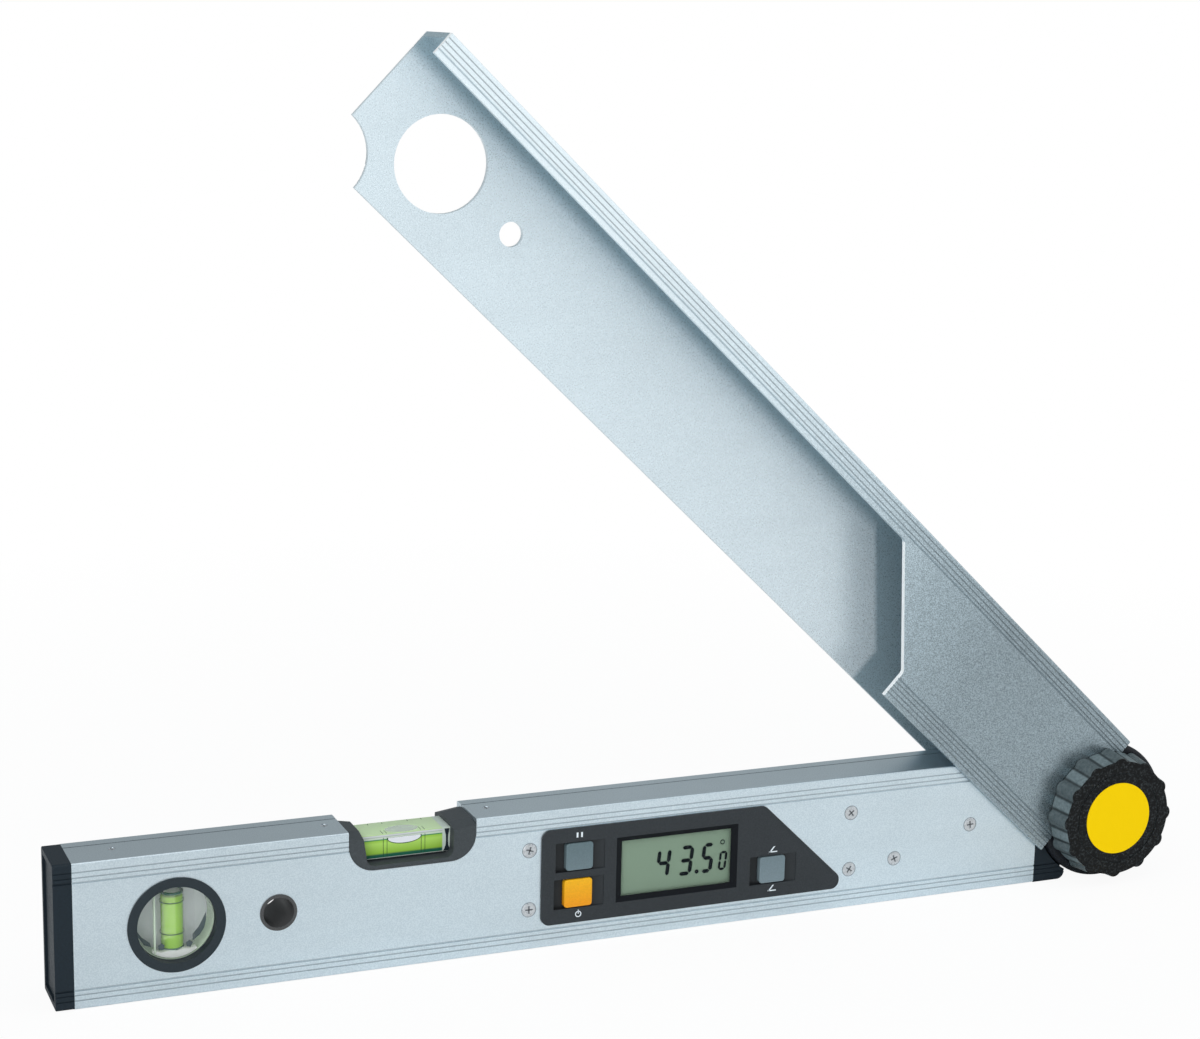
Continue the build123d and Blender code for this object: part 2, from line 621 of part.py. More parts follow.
def plumb_ring(sign):
    face = sign * BAR_DEPTH / 2
    outer = face + sign * PLUMB_RING_PROUD
    inner = face - sign * PLUMB_RING_DEPTH
    flange = rod_y(PLUMB_X, MID_HEIGHT, PLUMB_RING_RADIUS, min(face, outer), max(face, outer))
    neck = rod_y(PLUMB_X, MID_HEIGHT, PLUMB_RING_NECK, min(inner, outer), max(inner, outer))
    return flange + neck - rod_y(PLUMB_X, MID_HEIGHT, PLUMB_RING_WINDOW, FRONT - PAST, BACK + PAST)


def plumb_vial_block():
    half = BAR_DEPTH / 2 - PLUMB_RING_DEPTH
    body = rod_y(PLUMB_X, MID_HEIGHT, PLUMB_RING_NECK, -half, half)
    return body - rod_z(PLUMB_X, -PLUMB_TUBE_FORWARD, PLUMB_TUBE_RADIUS + RUNNING, *plumb_tube_span())


def plumb_tube_span():
    middle = MID_HEIGHT - PLUMB_TUBE_DROP
    return middle - PLUMB_TUBE_LENGTH / 2, middle + PLUMB_TUBE_LENGTH / 2


def plumb_vial_tube():
    low, high = plumb_tube_span()
    tube = rod_z(PLUMB_X, -PLUMB_TUBE_FORWARD, PLUMB_TUBE_RADIUS, low, high)
    bore = PLUMB_TUBE_RADIUS - PLUMB_TUBE_WALL
    return tube - rod_z(PLUMB_X, -PLUMB_TUBE_FORWARD, bore, low + PLUMB_TUBE_END, high - PLUMB_TUBE_END)


def plumb_vial_liquid():
    low, high = plumb_tube_span()
    bore = PLUMB_TUBE_RADIUS - PLUMB_TUBE_WALL
    top = high - PLUMB_TUBE_END - PLUMB_BUBBLE
    return rod_z(PLUMB_X, -PLUMB_TUBE_FORWARD, bore, low + PLUMB_TUBE_END, top)


def hang_hole_grommet():
    sleeve = HANG_BORE_RADIUS + GROMMET_WALL
    grommet = rod_y(HANG_X, MID_HEIGHT, sleeve, FRONT, BACK)
    grommet += rod_y(HANG_X, MID_HEIGHT, GROMMET_RADIUS, FRONT - GROMMET_FLANGE, FRONT)
    grommet += rod_y(HANG_X, MID_HEIGHT, GROMMET_RADIUS, BACK, BACK + GROMMET_FLANGE)
    grommet -= rod_y(HANG_X, MID_HEIGHT, HANG_BORE_RADIUS, FRONT - PAST, BACK + PAST)
    return grommet


# ---- display ----
def window_frame_cut():
    """The sloped frame, from the bezel's face down to the pane."""
    x0, x1, z0, z1 = window_box()
    mouth = Rectangle(x1 - x0 + 2 * WINDOW_BEVEL_X, z1 - z0 + 2 * WINDOW_BEVEL_Z)
    sight = Rectangle(x1 - x0, z1 - z0)
    middle = (x0 + x1) / 2, (z0 + z1) / 2
    ends = []
    for outline, y in ((mouth, BEZEL_FRONT), (sight, WINDOW_FRONT)):
        plane = Plane(origin=(middle[0], y, middle[1]), x_dir=(1, 0, 0), z_dir=(0, -1, 0))
        ends.append(plane * outline)
    return loft(ends, ruled=True)


def scoop_cut(x0, x1, z0, z1):
    """A finger recess, deep at the left and running out to the right."""
    outline = polygon(
        [
            (x0, BEZEL_FRONT - PAST),
            (x1, BEZEL_FRONT - PAST),
            (x1, BEZEL_FRONT + SCOOP_SHALLOW),
            (x0, BEZEL_FRONT + SCOOP_DEPTH),
        ]
    )
    return Pos(0, 0, z0) * extrude(outline, amount=z1 - z0, dir=(0, 0, 1))


def display_bezel():
    bezel = slab_y(bezel_outline(0.0), BEZEL_FRONT, FRONT)
    bezel += slab_y(bezel_outline(BEZEL_FLANGE + SEAT), FRONT, BEZEL_REAR)
    x0, x1, z0, z1 = window_box()
    bezel -= block(x0, x1, BEZEL_FRONT - PAST, BEZEL_REAR + PAST, z0, z1)
    bezel -= window_frame_cut()
    x0, x1, z0, z1 = window_box(WINDOW_LEDGE)
    bezel -= block(x0, x1, WINDOW_FRONT, BEZEL_REAR + PAST, z0, z1)
    for name in BUTTONS:
        x0, x1, z0, z1 = button_box(name)
        bezel -= scoop_cut(
            x0 - SCOOP_MARGIN_LEFT, x1 + SCOOP_MARGIN_RIGHT, z0 - SCOOP_MARGIN_Z, z1 + SCOOP_MARGIN_Z
        )
        gap = BUTTON_GAP
        hole = x0 - gap, x1 + gap, BEZEL_FRONT - PAST, BEZEL_REAR + PAST, z0 - gap, z1 + gap
        bezel -= rounded_block(*hole, BUTTON_CORNER + gap)
    return bezel


def display_window():
    x0, x1, z0, z1 = window_box(WINDOW_LEDGE - SEAT)
    return block(x0, x1, WINDOW_FRONT, WINDOW_FRONT + WINDOW_THICKNESS, z0, z1)


def lcd_panel():
    x0, x1, z0, z1 = window_box(WINDOW_LEDGE - SEAT)
    front = WINDOW_FRONT + WINDOW_THICKNESS
    return block(x0, x1, front, front + LCD_THICKNESS, z0, z1)


def button(name):
    x0, x1, z0, z1 = button_box(name)
    front = BEZEL_FRONT - BUTTON_PROUD
    cap = rounded_block(x0, x1, front, BEZEL_REAR + GAP, z0, z1, BUTTON_CORNER)
    cap = fillet(cap.faces().sort_by(Axis.Y)[0].edges(), BUTTON_PROUD)
    reach = BUTTON_FLANGE
    back = BEZEL_REAR + GAP + BUTTON_FLANGE_THICKNESS
    return cap + block(x0 - reach, x1 + reach, BEZEL_REAR + GAP, back, z0 - reach, z1 + reach)


def chassis_span():
    return BEZEL_LEFT + BEZEL_FLANGE - CHASSIS_MARGIN, BEZEL_RIGHT - BEZEL_FLANGE + CHASSIS_MARGIN


def display_chassis():
    left, right = chassis_span()
    inset = SEAT + CHASSIS_SIDE_GAP
    chassis = block(
        left, right, FRONT_IN, CHASSIS_BACK, BAR_EDGE_WALL + inset, BAR_HEIGHT - BAR_EDGE_WALL - inset
    )
    chassis -= slab_y(bezel_outline(BEZEL_FLANGE), FRONT_IN - PAST, BEZEL_REAR)
    x0, x1, z0, z1 = window_box(WINDOW_LEDGE)
    lcd_back = WINDOW_FRONT + WINDOW_THICKNESS + LCD_THICKNESS
    chassis -= block(x0, x1, FRONT_IN - PAST, lcd_back, z0, z1)
    clear = BUTTON_FLANGE + 2 * SEAT
    for name in BUTTONS:
        x0, x1, z0, z1 = button_box(name)
        chassis -= block(
            x0 - clear, x1 + clear, FRONT_IN - PAST, CHASSIS_BACK + PAST, z0 - clear, z1 + clear
        )
    for x, z in display_screw_places():
        chassis -= rod_y(x, z, SCREW_RADIUS, FRONT_IN - PAST, FRONT + SCREW_LENGTH)
    return chassis


def board_box():
    left, right = chassis_span()
    edge = BAR_EDGE_WALL + BOARD_SIDE_MARGIN
    return left + BOARD_MARGIN, right - BOARD_MARGIN, edge, BAR_HEIGHT - edge


def circuit_board():
    x0, x1, z0, z1 = board_box()
    return block(x0, x1, CHASSIS_BACK, BOARD_BACK, z0, z1)


def button_switches():
    switches = []
    press_back = BEZEL_REAR + GAP + BUTTON_FLANGE_THICKNESS
    top = press_back + BUTTON_TRAVEL + RUNNING
    half = SWITCH_SIZE / 2
    for name in BUTTONS:
        x0, x1, z0, z1 = button_box(name)
        x, z = (x0 + x1) / 2, (z0 + z1) / 2
        switches.append(block(x - half, x + half, top, CHASSIS_BACK, z - half, z + half))
    return Compound(children=switches)


def cross_screw(x, z):
    head = rod_y(x, z, SCREW_HEAD_RADIUS, FRONT, FRONT + SCREW_HEAD)
    screw = head + rod_y(x, z, SCREW_RADIUS, FRONT + SCREW_HEAD, FRONT + SCREW_LENGTH)
    long, wide = CROSS_LENGTH / 2, CROSS_WIDTH / 2
    screw -= block(x - long, x + long, FRONT - PAST, FRONT + CROSS_DEPTH, z - wide, z + wide)
    return screw - block(x - wide, x + wide, FRONT - PAST, FRONT + CROSS_DEPTH, z - long, z + long)


def display_screws():
    return Compound(children=[cross_screw(x, z) for x, z in display_screw_places()])


def pivot_insert_screws():
    return Compound(children=[cross_screw(x, z) for x, z in insert_screw_places()])


def top_screws():
    screws = []
    for x in top_screw_places():
        top = BAR_HEIGHT - TOP_SCREW_SUNK
        reach = TOP_SCREW_RADIUS + PAST
        slot = SLOT_WIDTH / 2
        screw = rod_z(x, 0, TOP_SCREW_RADIUS, BAR_HEIGHT - TOP_SCREW_LENGTH, top)
        screw -= block(x - slot, x + slot, -reach, reach, top - SLOT_DEPTH, BAR_HEIGHT)
        screws.append(screw)
    return Compound(children=screws)


# ---- battery ----
def battery_tray():
    x0, x1, z0, z1 = tray_box()
    tray = block(x0, x1, BOARD_BACK, BACK - COVER_THICKNESS, z0, z1)
    floor = cell_y() - CELL_RADIUS
    ends = x0 + TRAY_WALL, x1 - TRAY_SCREW_WALL
    tray -= block(*ends, floor, BACK, z0 + TRAY_WALL, z1 - TRAY_WALL)
    x, z = cover_screw_place()
    return tray - rod_y(x, z, COVER_SCREW_RADIUS, BACK - COVER_SCREW_LENGTH, BACK)


def cell_span():
    x0, x1, _, _ = tray_box()
    return x0 + TRAY_WALL + CONTACT_SPACE, x1 - TRAY_SCREW_WALL - CONTACT_SPACE


def cell_y():
    return BACK_IN - CELL_FROM_BACK - CELL_RADIUS


def battery_cells():
    cells = []
    x0, x1 = cell_span()
    for z, way in cell_places():
        if way > 0:
            can = rod_x(cell_y(), z, CELL_RADIUS, x0, x1 - CELL_NIPPLE)
            tip = rod_x(cell_y(), z, CELL_NIPPLE_RADIUS, x1 - CELL_NIPPLE, x1)
        else:
            can = rod_x(cell_y(), z, CELL_RADIUS, x0 + CELL_NIPPLE, x1)
            tip = rod_x(cell_y(), z, CELL_NIPPLE_RADIUS, x0, x0 + CELL_NIPPLE)
        cells.append(can + tip)
    return Compound(children=cells)


def battery_contacts():
    contacts = []
    x0, x1 = cell_span()
    half = CELL_RADIUS - CONTACT_MARGIN
    low, high = cell_y() - half, cell_y() + half
    for z, _ in cell_places():
        for cell_end, outwards in ((x0, -1), (x1, 1)):
            wall = cell_end + outwards * CONTACT_SPACE
            plate = sorted((wall, wall - outwards * CONTACT_THICKNESS))
            spring = sorted((wall, cell_end))
            contact = block(*plate, low, high, z - half, z + half)
            contacts.append(contact + rod_x(cell_y(), z, SPRING_RADIUS, *spring))
    return Compound(children=contacts)


def cover_screw_place():
    return tray_box()[1] - TRAY_SCREW_WALL / 2, MID_HEIGHT


def battery_cover():
    x0, x1, z0, z1 = tray_box()
    cover = block(x0, x1, BACK - COVER_THICKNESS, BACK, z0, z1)
    x, z = cover_screw_place()
    cover -= rod_y(x, z, COVER_SCREW_RADIUS, BACK - COVER_SCREW_LENGTH, BACK)
    return cover - rod_y(x, z, COVER_SCREW_HEAD + SEAT, BACK - COVER_SCREW_HEAD_DEPTH, BACK + PAST)


def battery_cover_screw():
    x, z = cover_screw_place()
    screw = rod_y(x, z, COVER_SCREW_RADIUS, BACK - COVER_SCREW_LENGTH, BACK - COVER_SCREW_HEAD_DEPTH)
    screw += rod_y(x, z, COVER_SCREW_HEAD, BACK - COVER_SCREW_HEAD_DEPTH, BACK)
    long, wide = COVER_SCREW_HEAD, SLOT_WIDTH / 2
    return screw - block(x - long, x + long, BACK - SLOT_DEPTH, BACK + PAST, z - wide, z + wide)


# ---- pivot end of the bar ----
def pivot_insert():
    insert = bar_section(SEAT, BAR_RIGHT - INSERT_PLUG, BAR_RIGHT)
    insert -= bar_section(SEAT + INSERT_WALL, BAR_RIGHT - INSERT_PLUG - PAST, BAR_RIGHT - INSERT_WEB)
    for x, z in insert_screw_places():
        insert += rod_y(x, z, INSERT_BOSS_RADIUS, FRONT_IN + SEAT, FRONT_IN + INSERT_BOSS_DEPTH)
    collar_right = PIVOT_X - COLLAR_FROM_PIVOT
    collar = block(BAR_RIGHT, collar_right, FRONT, BACK, 0, BAR_HEIGHT)
    right_edges = collar.edges().filter_by(Axis.Y).group_by(Axis.X)[-1]
    collar = fillet(right_edges, COLLAR_CORNER)
    sweep = HUB_RADIUS + 2 * GAP
    half = BOSS_DEPTH / 2
    for y0, y1 in ((FRONT - PAST, -half), (half, BACK + PAST)):
        collar -= rod_y(PIVOT_X, PIVOT_HEIGHT, sweep, y0, y1)
    collar -= bar_groove_cuts(BAR_RIGHT - PAST, collar_right + PAST)
    insert += collar
    insert += rod_y(PIVOT_X, PIVOT_HEIGHT, BOSS_RADIUS, -half, half)
    insert -= rod_y(PIVOT_X, PIVOT_HEIGHT, BOLT_RADIUS + BUSHING_WALL, -half - PAST, half + PAST)
    pocket = SENSOR_OUTER + SENSOR_POCKET_GAP, SENSOR_INNER - SENSOR_POCKET_GAP
    insert -= ring_y(PIVOT_X, PIVOT_HEIGHT, *pocket, sensor_floor(), half + PAST)
    for x, z in insert_screw_places():
        insert -= rod_y(x, z, SCREW_RADIUS, FRONT_IN - PAST, FRONT + SCREW_LENGTH)
    x0, x1, y0, y1, z0, z1 = cable_box()
    return insert - block(x0, x1, y0 - GAP, y1 + GAP, z0 - GAP, z1 + GAP)


def sensor_floor():
    """The bottom of the sensor's pocket in the boss."""
    return CHEEK_IN - SENSOR_ROTOR - SENSOR_AIR - SENSOR_BOARD


def cable_box():
    x0 = board_box()[1]
    x1 = PIVOT_X - SENSOR_OUTER + CABLE_LAP
    y1 = sensor_floor()
    half = CABLE_WIDTH / 2
    return x0, x1, y1 - CABLE_THICKNESS, y1, PIVOT_HEIGHT - half, PIVOT_HEIGHT + half


def sensor_cable():
    return block(*cable_box())


def angle_sensor_board():
    floor = sensor_floor()
    return ring_y(PIVOT_X, PIVOT_HEIGHT, SENSOR_OUTER, SENSOR_INNER, floor, floor + SENSOR_BOARD)


def pivot_bushing():
    half = BOSS_DEPTH / 2
    outer = BOLT_RADIUS + BUSHING_WALL
    return ring_y(PIVOT_X, PIVOT_HEIGHT, outer, BOLT_RADIUS + RUNNING, -half, half)


# ---- upper arm, drawn closed with the pivot at the origin, along -X ----
def cut_outline():
    """What the front wall loses: everything past the slanted cut, under the lip."""
    lip_edge = LIP_EDGE - PIVOT_HEIGHT
    cut_top = PIVOT_X - slant_x(LIP_EDGE, BEZEL_CUT_GAP)
    turn = lip_edge - (cut_top - CUT_SQUARE) / math.tan(math.radians(CUT_SLANT))
    low = -ARM_BELOW_PIVOT - PAST
    points = [
        (-cut_top, lip_edge),
        (-CUT_SQUARE, turn),
        (-CUT_SQUARE, low),
        (-ARM_LENGTH - PAST, low),
        (-ARM_LENGTH - PAST, lip_edge),
    ]
    outline = polygon(points)
    for point in points[:2]:
        nearest = outline.vertices().sort_by_distance((point[0], point[1], 0))[0]
        outline = fillet([nearest], CUT_ROUND)
    return outline


def upper_arm_channel():
    arm = block(-ARM_LENGTH, -CHANNEL_START, -ARM_OUTSIDE, ARM_OUTSIDE, -ARM_BELOW_PIVOT, ARM_TOP)
    long_edges = arm.edges().filter_by(Axis.X).group_by(Axis.Z)[-1]
    arm = fillet(long_edges, BAR_CORNER)
    arm -= block(-ARM_LENGTH - PAST, 0, -ARM_INSIDE, ARM_INSIDE, -ARM_BELOW_PIVOT - PAST, WEB_IN)
    arm -= slab_y(cut_outline(), -ARM_OUTSIDE - PAST, -ARM_INSIDE + PAST)
    cuts = []
    for face_y in (-ARM_OUTSIDE, ARM_OUTSIDE):
        cuts += groove_cuts(-ARM_LENGTH - PAST, 0, ARM_TOP, -1, face_y, 1, LIP_GROOVES)
        cuts += groove_cuts(-ARM_LENGTH - PAST, 0, -ARM_BELOW_PIVOT, 1, face_y, 1, OPEN_EDGE_GROOVES)
    height = MID_HEIGHT - PIVOT_HEIGHT
    cuts.append(rod_y(PLUMB_X - PIVOT_X, height, ARM_VIAL_WINDOW, ARM_INSIDE - PAST, ARM_OUTSIDE + PAST))
    cuts.append(rod_y(HANG_X - PIVOT_X, height, ARM_HOLE_RADIUS, ARM_INSIDE - PAST, ARM_OUTSIDE + PAST))
    cuts.append(rod_y(-ARM_LENGTH, -ARM_BELOW_PIVOT, NOTCH_RADIUS, ARM_INSIDE - PAST, ARM_OUTSIDE + PAST))
    for x, z in rivet_places():
        cuts.append(rod_y(x, z, RIVET_RADIUS, -ARM_OUTSIDE - PAST, ARM_OUTSIDE + PAST))
    return ARM_PLACE * (arm - cuts)


def rivet_places():
    for angle in RIVET_ANGLES:
        turn = math.radians(angle)
        yield RIVET_CIRCLE * math.cos(turn), RIVET_CIRCLE * math.sin(turn)


def hub_cheek(sign):
    """Round end of the arm on one side: full thickness past the channel, thinner under its wall."""
    faces = sorted((sign * CHEEK_IN, sign * ARM_OUTSIDE))
    cheek = rod_y(0, 0, HUB_RADIUS, *faces)
    face = cheek.faces().sort_by(Axis.Y)[-1 if sign > 0 else 0]
    cheek = fillet(face.edges(), HUB_EDGE)
    walls = sorted((sign * ARM_INSIDE, sign * (ARM_OUTSIDE + PAST)))
    start = -CHANNEL_START + HUB_TO_CHANNEL
    cheek -= block(-HUB_RADIUS - PAST, start, walls[0], walls[1], -HUB_RADIUS - PAST, HUB_RADIUS + PAST)
    cheek -= block(-HUB_RADIUS - PAST, start, -ARM_OUTSIDE, ARM_OUTSIDE, WEB_IN, ARM_TOP + PAST)
    cheek -= rod_y(0, 0, BOLT_RADIUS + RUNNING, -ARM_OUTSIDE - PAST, ARM_OUTSIDE + PAST)
    for x, z in rivet_places():
        cheek -= rod_y(x, z, RIVET_RADIUS, -ARM_OUTSIDE - PAST, ARM_OUTSIDE + PAST)
    if sign > 0:
        cheek -= rod_y(0, 0, BOLT_HEAD_RADIUS + SEAT, ARM_OUTSIDE - BOLT_HEAD, ARM_OUTSIDE + PAST)
    return ARM_PLACE * cheek


def hub_rivets():
    rivets = []
    for x, z in rivet_places():
        for sign in (-1, 1):
            shank = sorted((sign * CHEEK_IN, sign * ARM_OUTSIDE))
            rivets.append(ARM_PLACE * rod_y(x, z, RIVET_RADIUS, *shank))
    return Compound(children=rivets)


def friction_rings():
    rings = []
    for sign in (-1, 1):
        faces = sorted((sign * CHEEK_IN, sign * (CHEEK_IN - RING_THICKNESS)))
        rings.append(ARM_PLACE * ring_y(0, 0, RING_OUTER, RING_INNER, *faces))
    return Compound(children=rings)


def angle_sensor_rotor():
    return ARM_PLACE * ring_y(0, 0, SENSOR_OUTER, SENSOR_INNER, CHEEK_IN - SENSOR_ROTOR, CHEEK_IN)


def pivot_bolt():
    tip = KNOB_BACK - NUT_LENGTH
    bolt = rod_y(0, 0, BOLT_RADIUS, tip, ARM_OUTSIDE)
    bolt += rod_y(0, 0, BOLT_HEAD_RADIUS, ARM_OUTSIDE - BOLT_HEAD, ARM_OUTSIDE)
    return ARM_PLACE * bolt


def lock_knob():
    back, front = KNOB_BACK, KNOB_FRONT
    hollow = KNOB_BACK_RADIUS - KNOB_RIDGE_HEIGHT
    outline = Rot(0, 0, REST_ANGLE) * Circle(hollow)
    ridge_place = Pos(KNOB_BACK_RADIUS - KNOB_RIDGE_RADIUS, 0) * Rot(0, 0, 180)
    for ridge in range(KNOB_RIDGES):
        turn = Rot(0, 0, REST_ANGLE + 360 * ridge / KNOB_RIDGES)
        outline += turn * ridge_place * Circle(KNOB_RIDGE_RADIUS)
    outline = fillet(outline.vertices(), KNOB_RIDGE_FOOT)
    front_outline = Pos(0, 0, KNOB_DEPTH) * scale(outline, KNOB_FRONT_RADIUS / KNOB_BACK_RADIUS)
    body = Pos(0, back, 0) * Rot(90, 0, 0) * loft([outline.face(), front_outline.face()], ruled=True)
    body = fillet(body.faces().sort_by(Axis.Y)[0].outer_wire().edges(), KNOB_EDGE)
    outer = KNOB_FRONT_RADIUS - KNOB_RIDGE_HEIGHT - KNOB_WALL
    body -= ring_y(0, 0, outer, KNOB_CORE_RADIUS, back - KNOB_HOLLOW, back + PAST)
    body -= rod_y(0, 0, LABEL_RADIUS + SEAT, front - PAST, front + LABEL_THICKNESS - LABEL_RAISED)
    ring_inner = FACE_RING_RADIUS - FACE_RING_WIDTH
    body -= ring_y(0, 0, FACE_RING_RADIUS, ring_inner, front - PAST, front + FACE_RING_DEPTH)
    body -= rod_y(0, 0, NUT_RADIUS, back - NUT_LENGTH - GAP, back + PAST)
    body -= rod_y(0, 0, WASHER_RADIUS + GAP, back - WASHER_THICKNESS, back + PAST)
    return ARM_PLACE * body


def knob_insert_nut():
    front_end = KNOB_BACK - NUT_LENGTH - GAP
    nut = ring_y(0, 0, NUT_RADIUS, BOLT_RADIUS + RUNNING, front_end, KNOB_BACK - WASHER_THICKNESS)
    return ARM_PLACE * nut


def knob_washer():
    face = -ARM_OUTSIDE
    return ARM_PLACE * ring_y(0, 0, WASHER_RADIUS, BOLT_RADIUS + RUNNING, face - WASHER_THICKNESS, face)


def knob_label_disc():
    disc_front = KNOB_FRONT - LABEL_RAISED
    return ARM_PLACE * rod_y(0, 0, LABEL_RADIUS, disc_front, disc_front + LABEL_THICKNESS)


# ---- write every piece ----
PIECES = {
    "lower_arm_extrusion": lower_arm_extrusion,
    "end_cap": end_cap,
    "top_vial_saddle": top_vial_saddle,
    "top_vial_block": top_vial_block,
    "top_vial_liquid": top_vial_liquid,
    "plumb_vial_front_ring": lambda: plumb_ring(-1),
    "plumb_vial_rear_ring": lambda: plumb_ring(1),
    "plumb_vial_block": plumb_vial_block,
    "plumb_vial_tube": plumb_vial_tube,
    "plumb_vial_liquid": plumb_vial_liquid,
    "hang_hole_grommet": hang_hole_grommet,
    "display_bezel": display_bezel,
    "display_window": display_window,
    "lcd_panel": lcd_panel,
    "hold_button": lambda: button("hold_button"),
    "power_button": lambda: button("power_button"),
    "mode_button": lambda: button("mode_button"),
    "display_chassis": display_chassis,
    "circuit_board": circuit_board,
    "button_switches": button_switches,
    "display_screws": display_screws,
    "pivot_insert_screws": pivot_insert_screws,
    "top_screws": top_screws,
    "battery_tray": battery_tray,
    "battery_cells": battery_cells,
    "battery_contacts": battery_contacts,
    "battery_cover": battery_cover,
    "battery_cover_screw": battery_cover_screw,
    "pivot_insert": pivot_insert,
    "pivot_bushing": pivot_bushing,
    "angle_sensor_board": angle_sensor_board,
    "sensor_cable": sensor_cable,
    "upper_arm_channel": upper_arm_channel,
    "front_hub_cheek": lambda: hub_cheek(-1),
    "rear_hub_cheek": lambda: hub_cheek(1),
    "hub_rivets": hub_rivets,
    "friction_rings": friction_rings,
    "angle_sensor_rotor": angle_sensor_rotor,
    "pivot_bolt": pivot_bolt,
    "lock_knob": lock_knob,
    "knob_insert_nut": knob_insert_nut,
    "knob_washer": knob_washer,
    "knob_label_disc": knob_label_disc,
}

os.makedirs("parts", exist_ok=True)
for name, make in PIECES.items():
    export_step(make(), f"parts/{name}.step")
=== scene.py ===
import json
import math

import bmesh
import bpy
from mathutils import Matrix, Vector


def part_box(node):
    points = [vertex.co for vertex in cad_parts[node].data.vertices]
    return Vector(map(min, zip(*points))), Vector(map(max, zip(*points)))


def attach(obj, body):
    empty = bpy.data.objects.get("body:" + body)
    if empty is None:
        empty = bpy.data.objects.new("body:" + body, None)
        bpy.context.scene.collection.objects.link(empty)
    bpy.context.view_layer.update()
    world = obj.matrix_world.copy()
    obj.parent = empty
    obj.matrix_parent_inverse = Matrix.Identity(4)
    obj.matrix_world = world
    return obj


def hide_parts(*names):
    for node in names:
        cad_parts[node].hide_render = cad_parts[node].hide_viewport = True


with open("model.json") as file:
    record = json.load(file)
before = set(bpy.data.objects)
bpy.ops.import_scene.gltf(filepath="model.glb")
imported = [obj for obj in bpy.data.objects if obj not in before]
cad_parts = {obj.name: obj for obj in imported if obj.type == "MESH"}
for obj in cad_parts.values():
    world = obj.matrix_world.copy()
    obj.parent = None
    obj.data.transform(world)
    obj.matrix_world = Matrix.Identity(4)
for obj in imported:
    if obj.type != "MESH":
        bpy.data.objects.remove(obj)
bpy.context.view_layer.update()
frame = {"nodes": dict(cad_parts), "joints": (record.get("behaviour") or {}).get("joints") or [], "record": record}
nodes = frame["nodes"]
scene = bpy.context.scene
scene.view_settings.view_transform = "Standard"

# ---- places on the object, in metres: X along the bar, Y to the back, Z up ----
MM = 0.001
BAR_HEIGHT = 0.060
BAR_GROOVES = (0.0037, 0.0059, 0.0079)
TOP_VIAL = Vector((-0.0817, 0.0, 0.05095))
VIAL_FACE, VIAL_FOOT, VIAL_TOP = 0.0075, 0.0458, 0.0561
LIQUID_END = -0.0653
PLUMB = Vector((-0.1769, 0.0, 0.030))
TUBE = Vector((-0.1769, -0.0034, 0.0291))
BEZEL_FACE = -0.0133
LCD_FACE = -0.0110
LEFT_BUTTONS, MODE_BUTTON = -0.0067, 0.0839
SCREWS = [
    (-0.0287, 0.0176), (-0.0287, 0.0436), (0.1219, 0.0176),
    (0.1219, 0.0436), (0.1444, 0.0200), (0.1825, 0.0316),
]

PIVOT = Vector((0.2506, 0.0, 0.032))
KNOB_FACE = -0.0281
KNOB_RIDGES = 12
RIDGE_FOOT = math.radians(8.8)
HINGE = next(joint for joint in frame["joints"] if joint["name"] == "arm_hinge")
OPENING = math.radians(-HINGE["range_deg"][0])
ARM_OUT = Vector((math.sin(OPENING), 0, math.cos(OPENING)))
ARM_ALONG = Vector((-math.cos(OPENING), 0, math.sin(OPENING)))
ARM_UPPER_EDGE, ARM_LOWER_EDGE = 0.0314, -0.0332
ARM_OUTSIDE, ARM_INSIDE = 0.0158, 0.0133

SMOOTH_BELOW = math.radians(35)
SHARP_ABOVE = math.radians(30)
WHITE = (1.0, 1.0, 1.0)


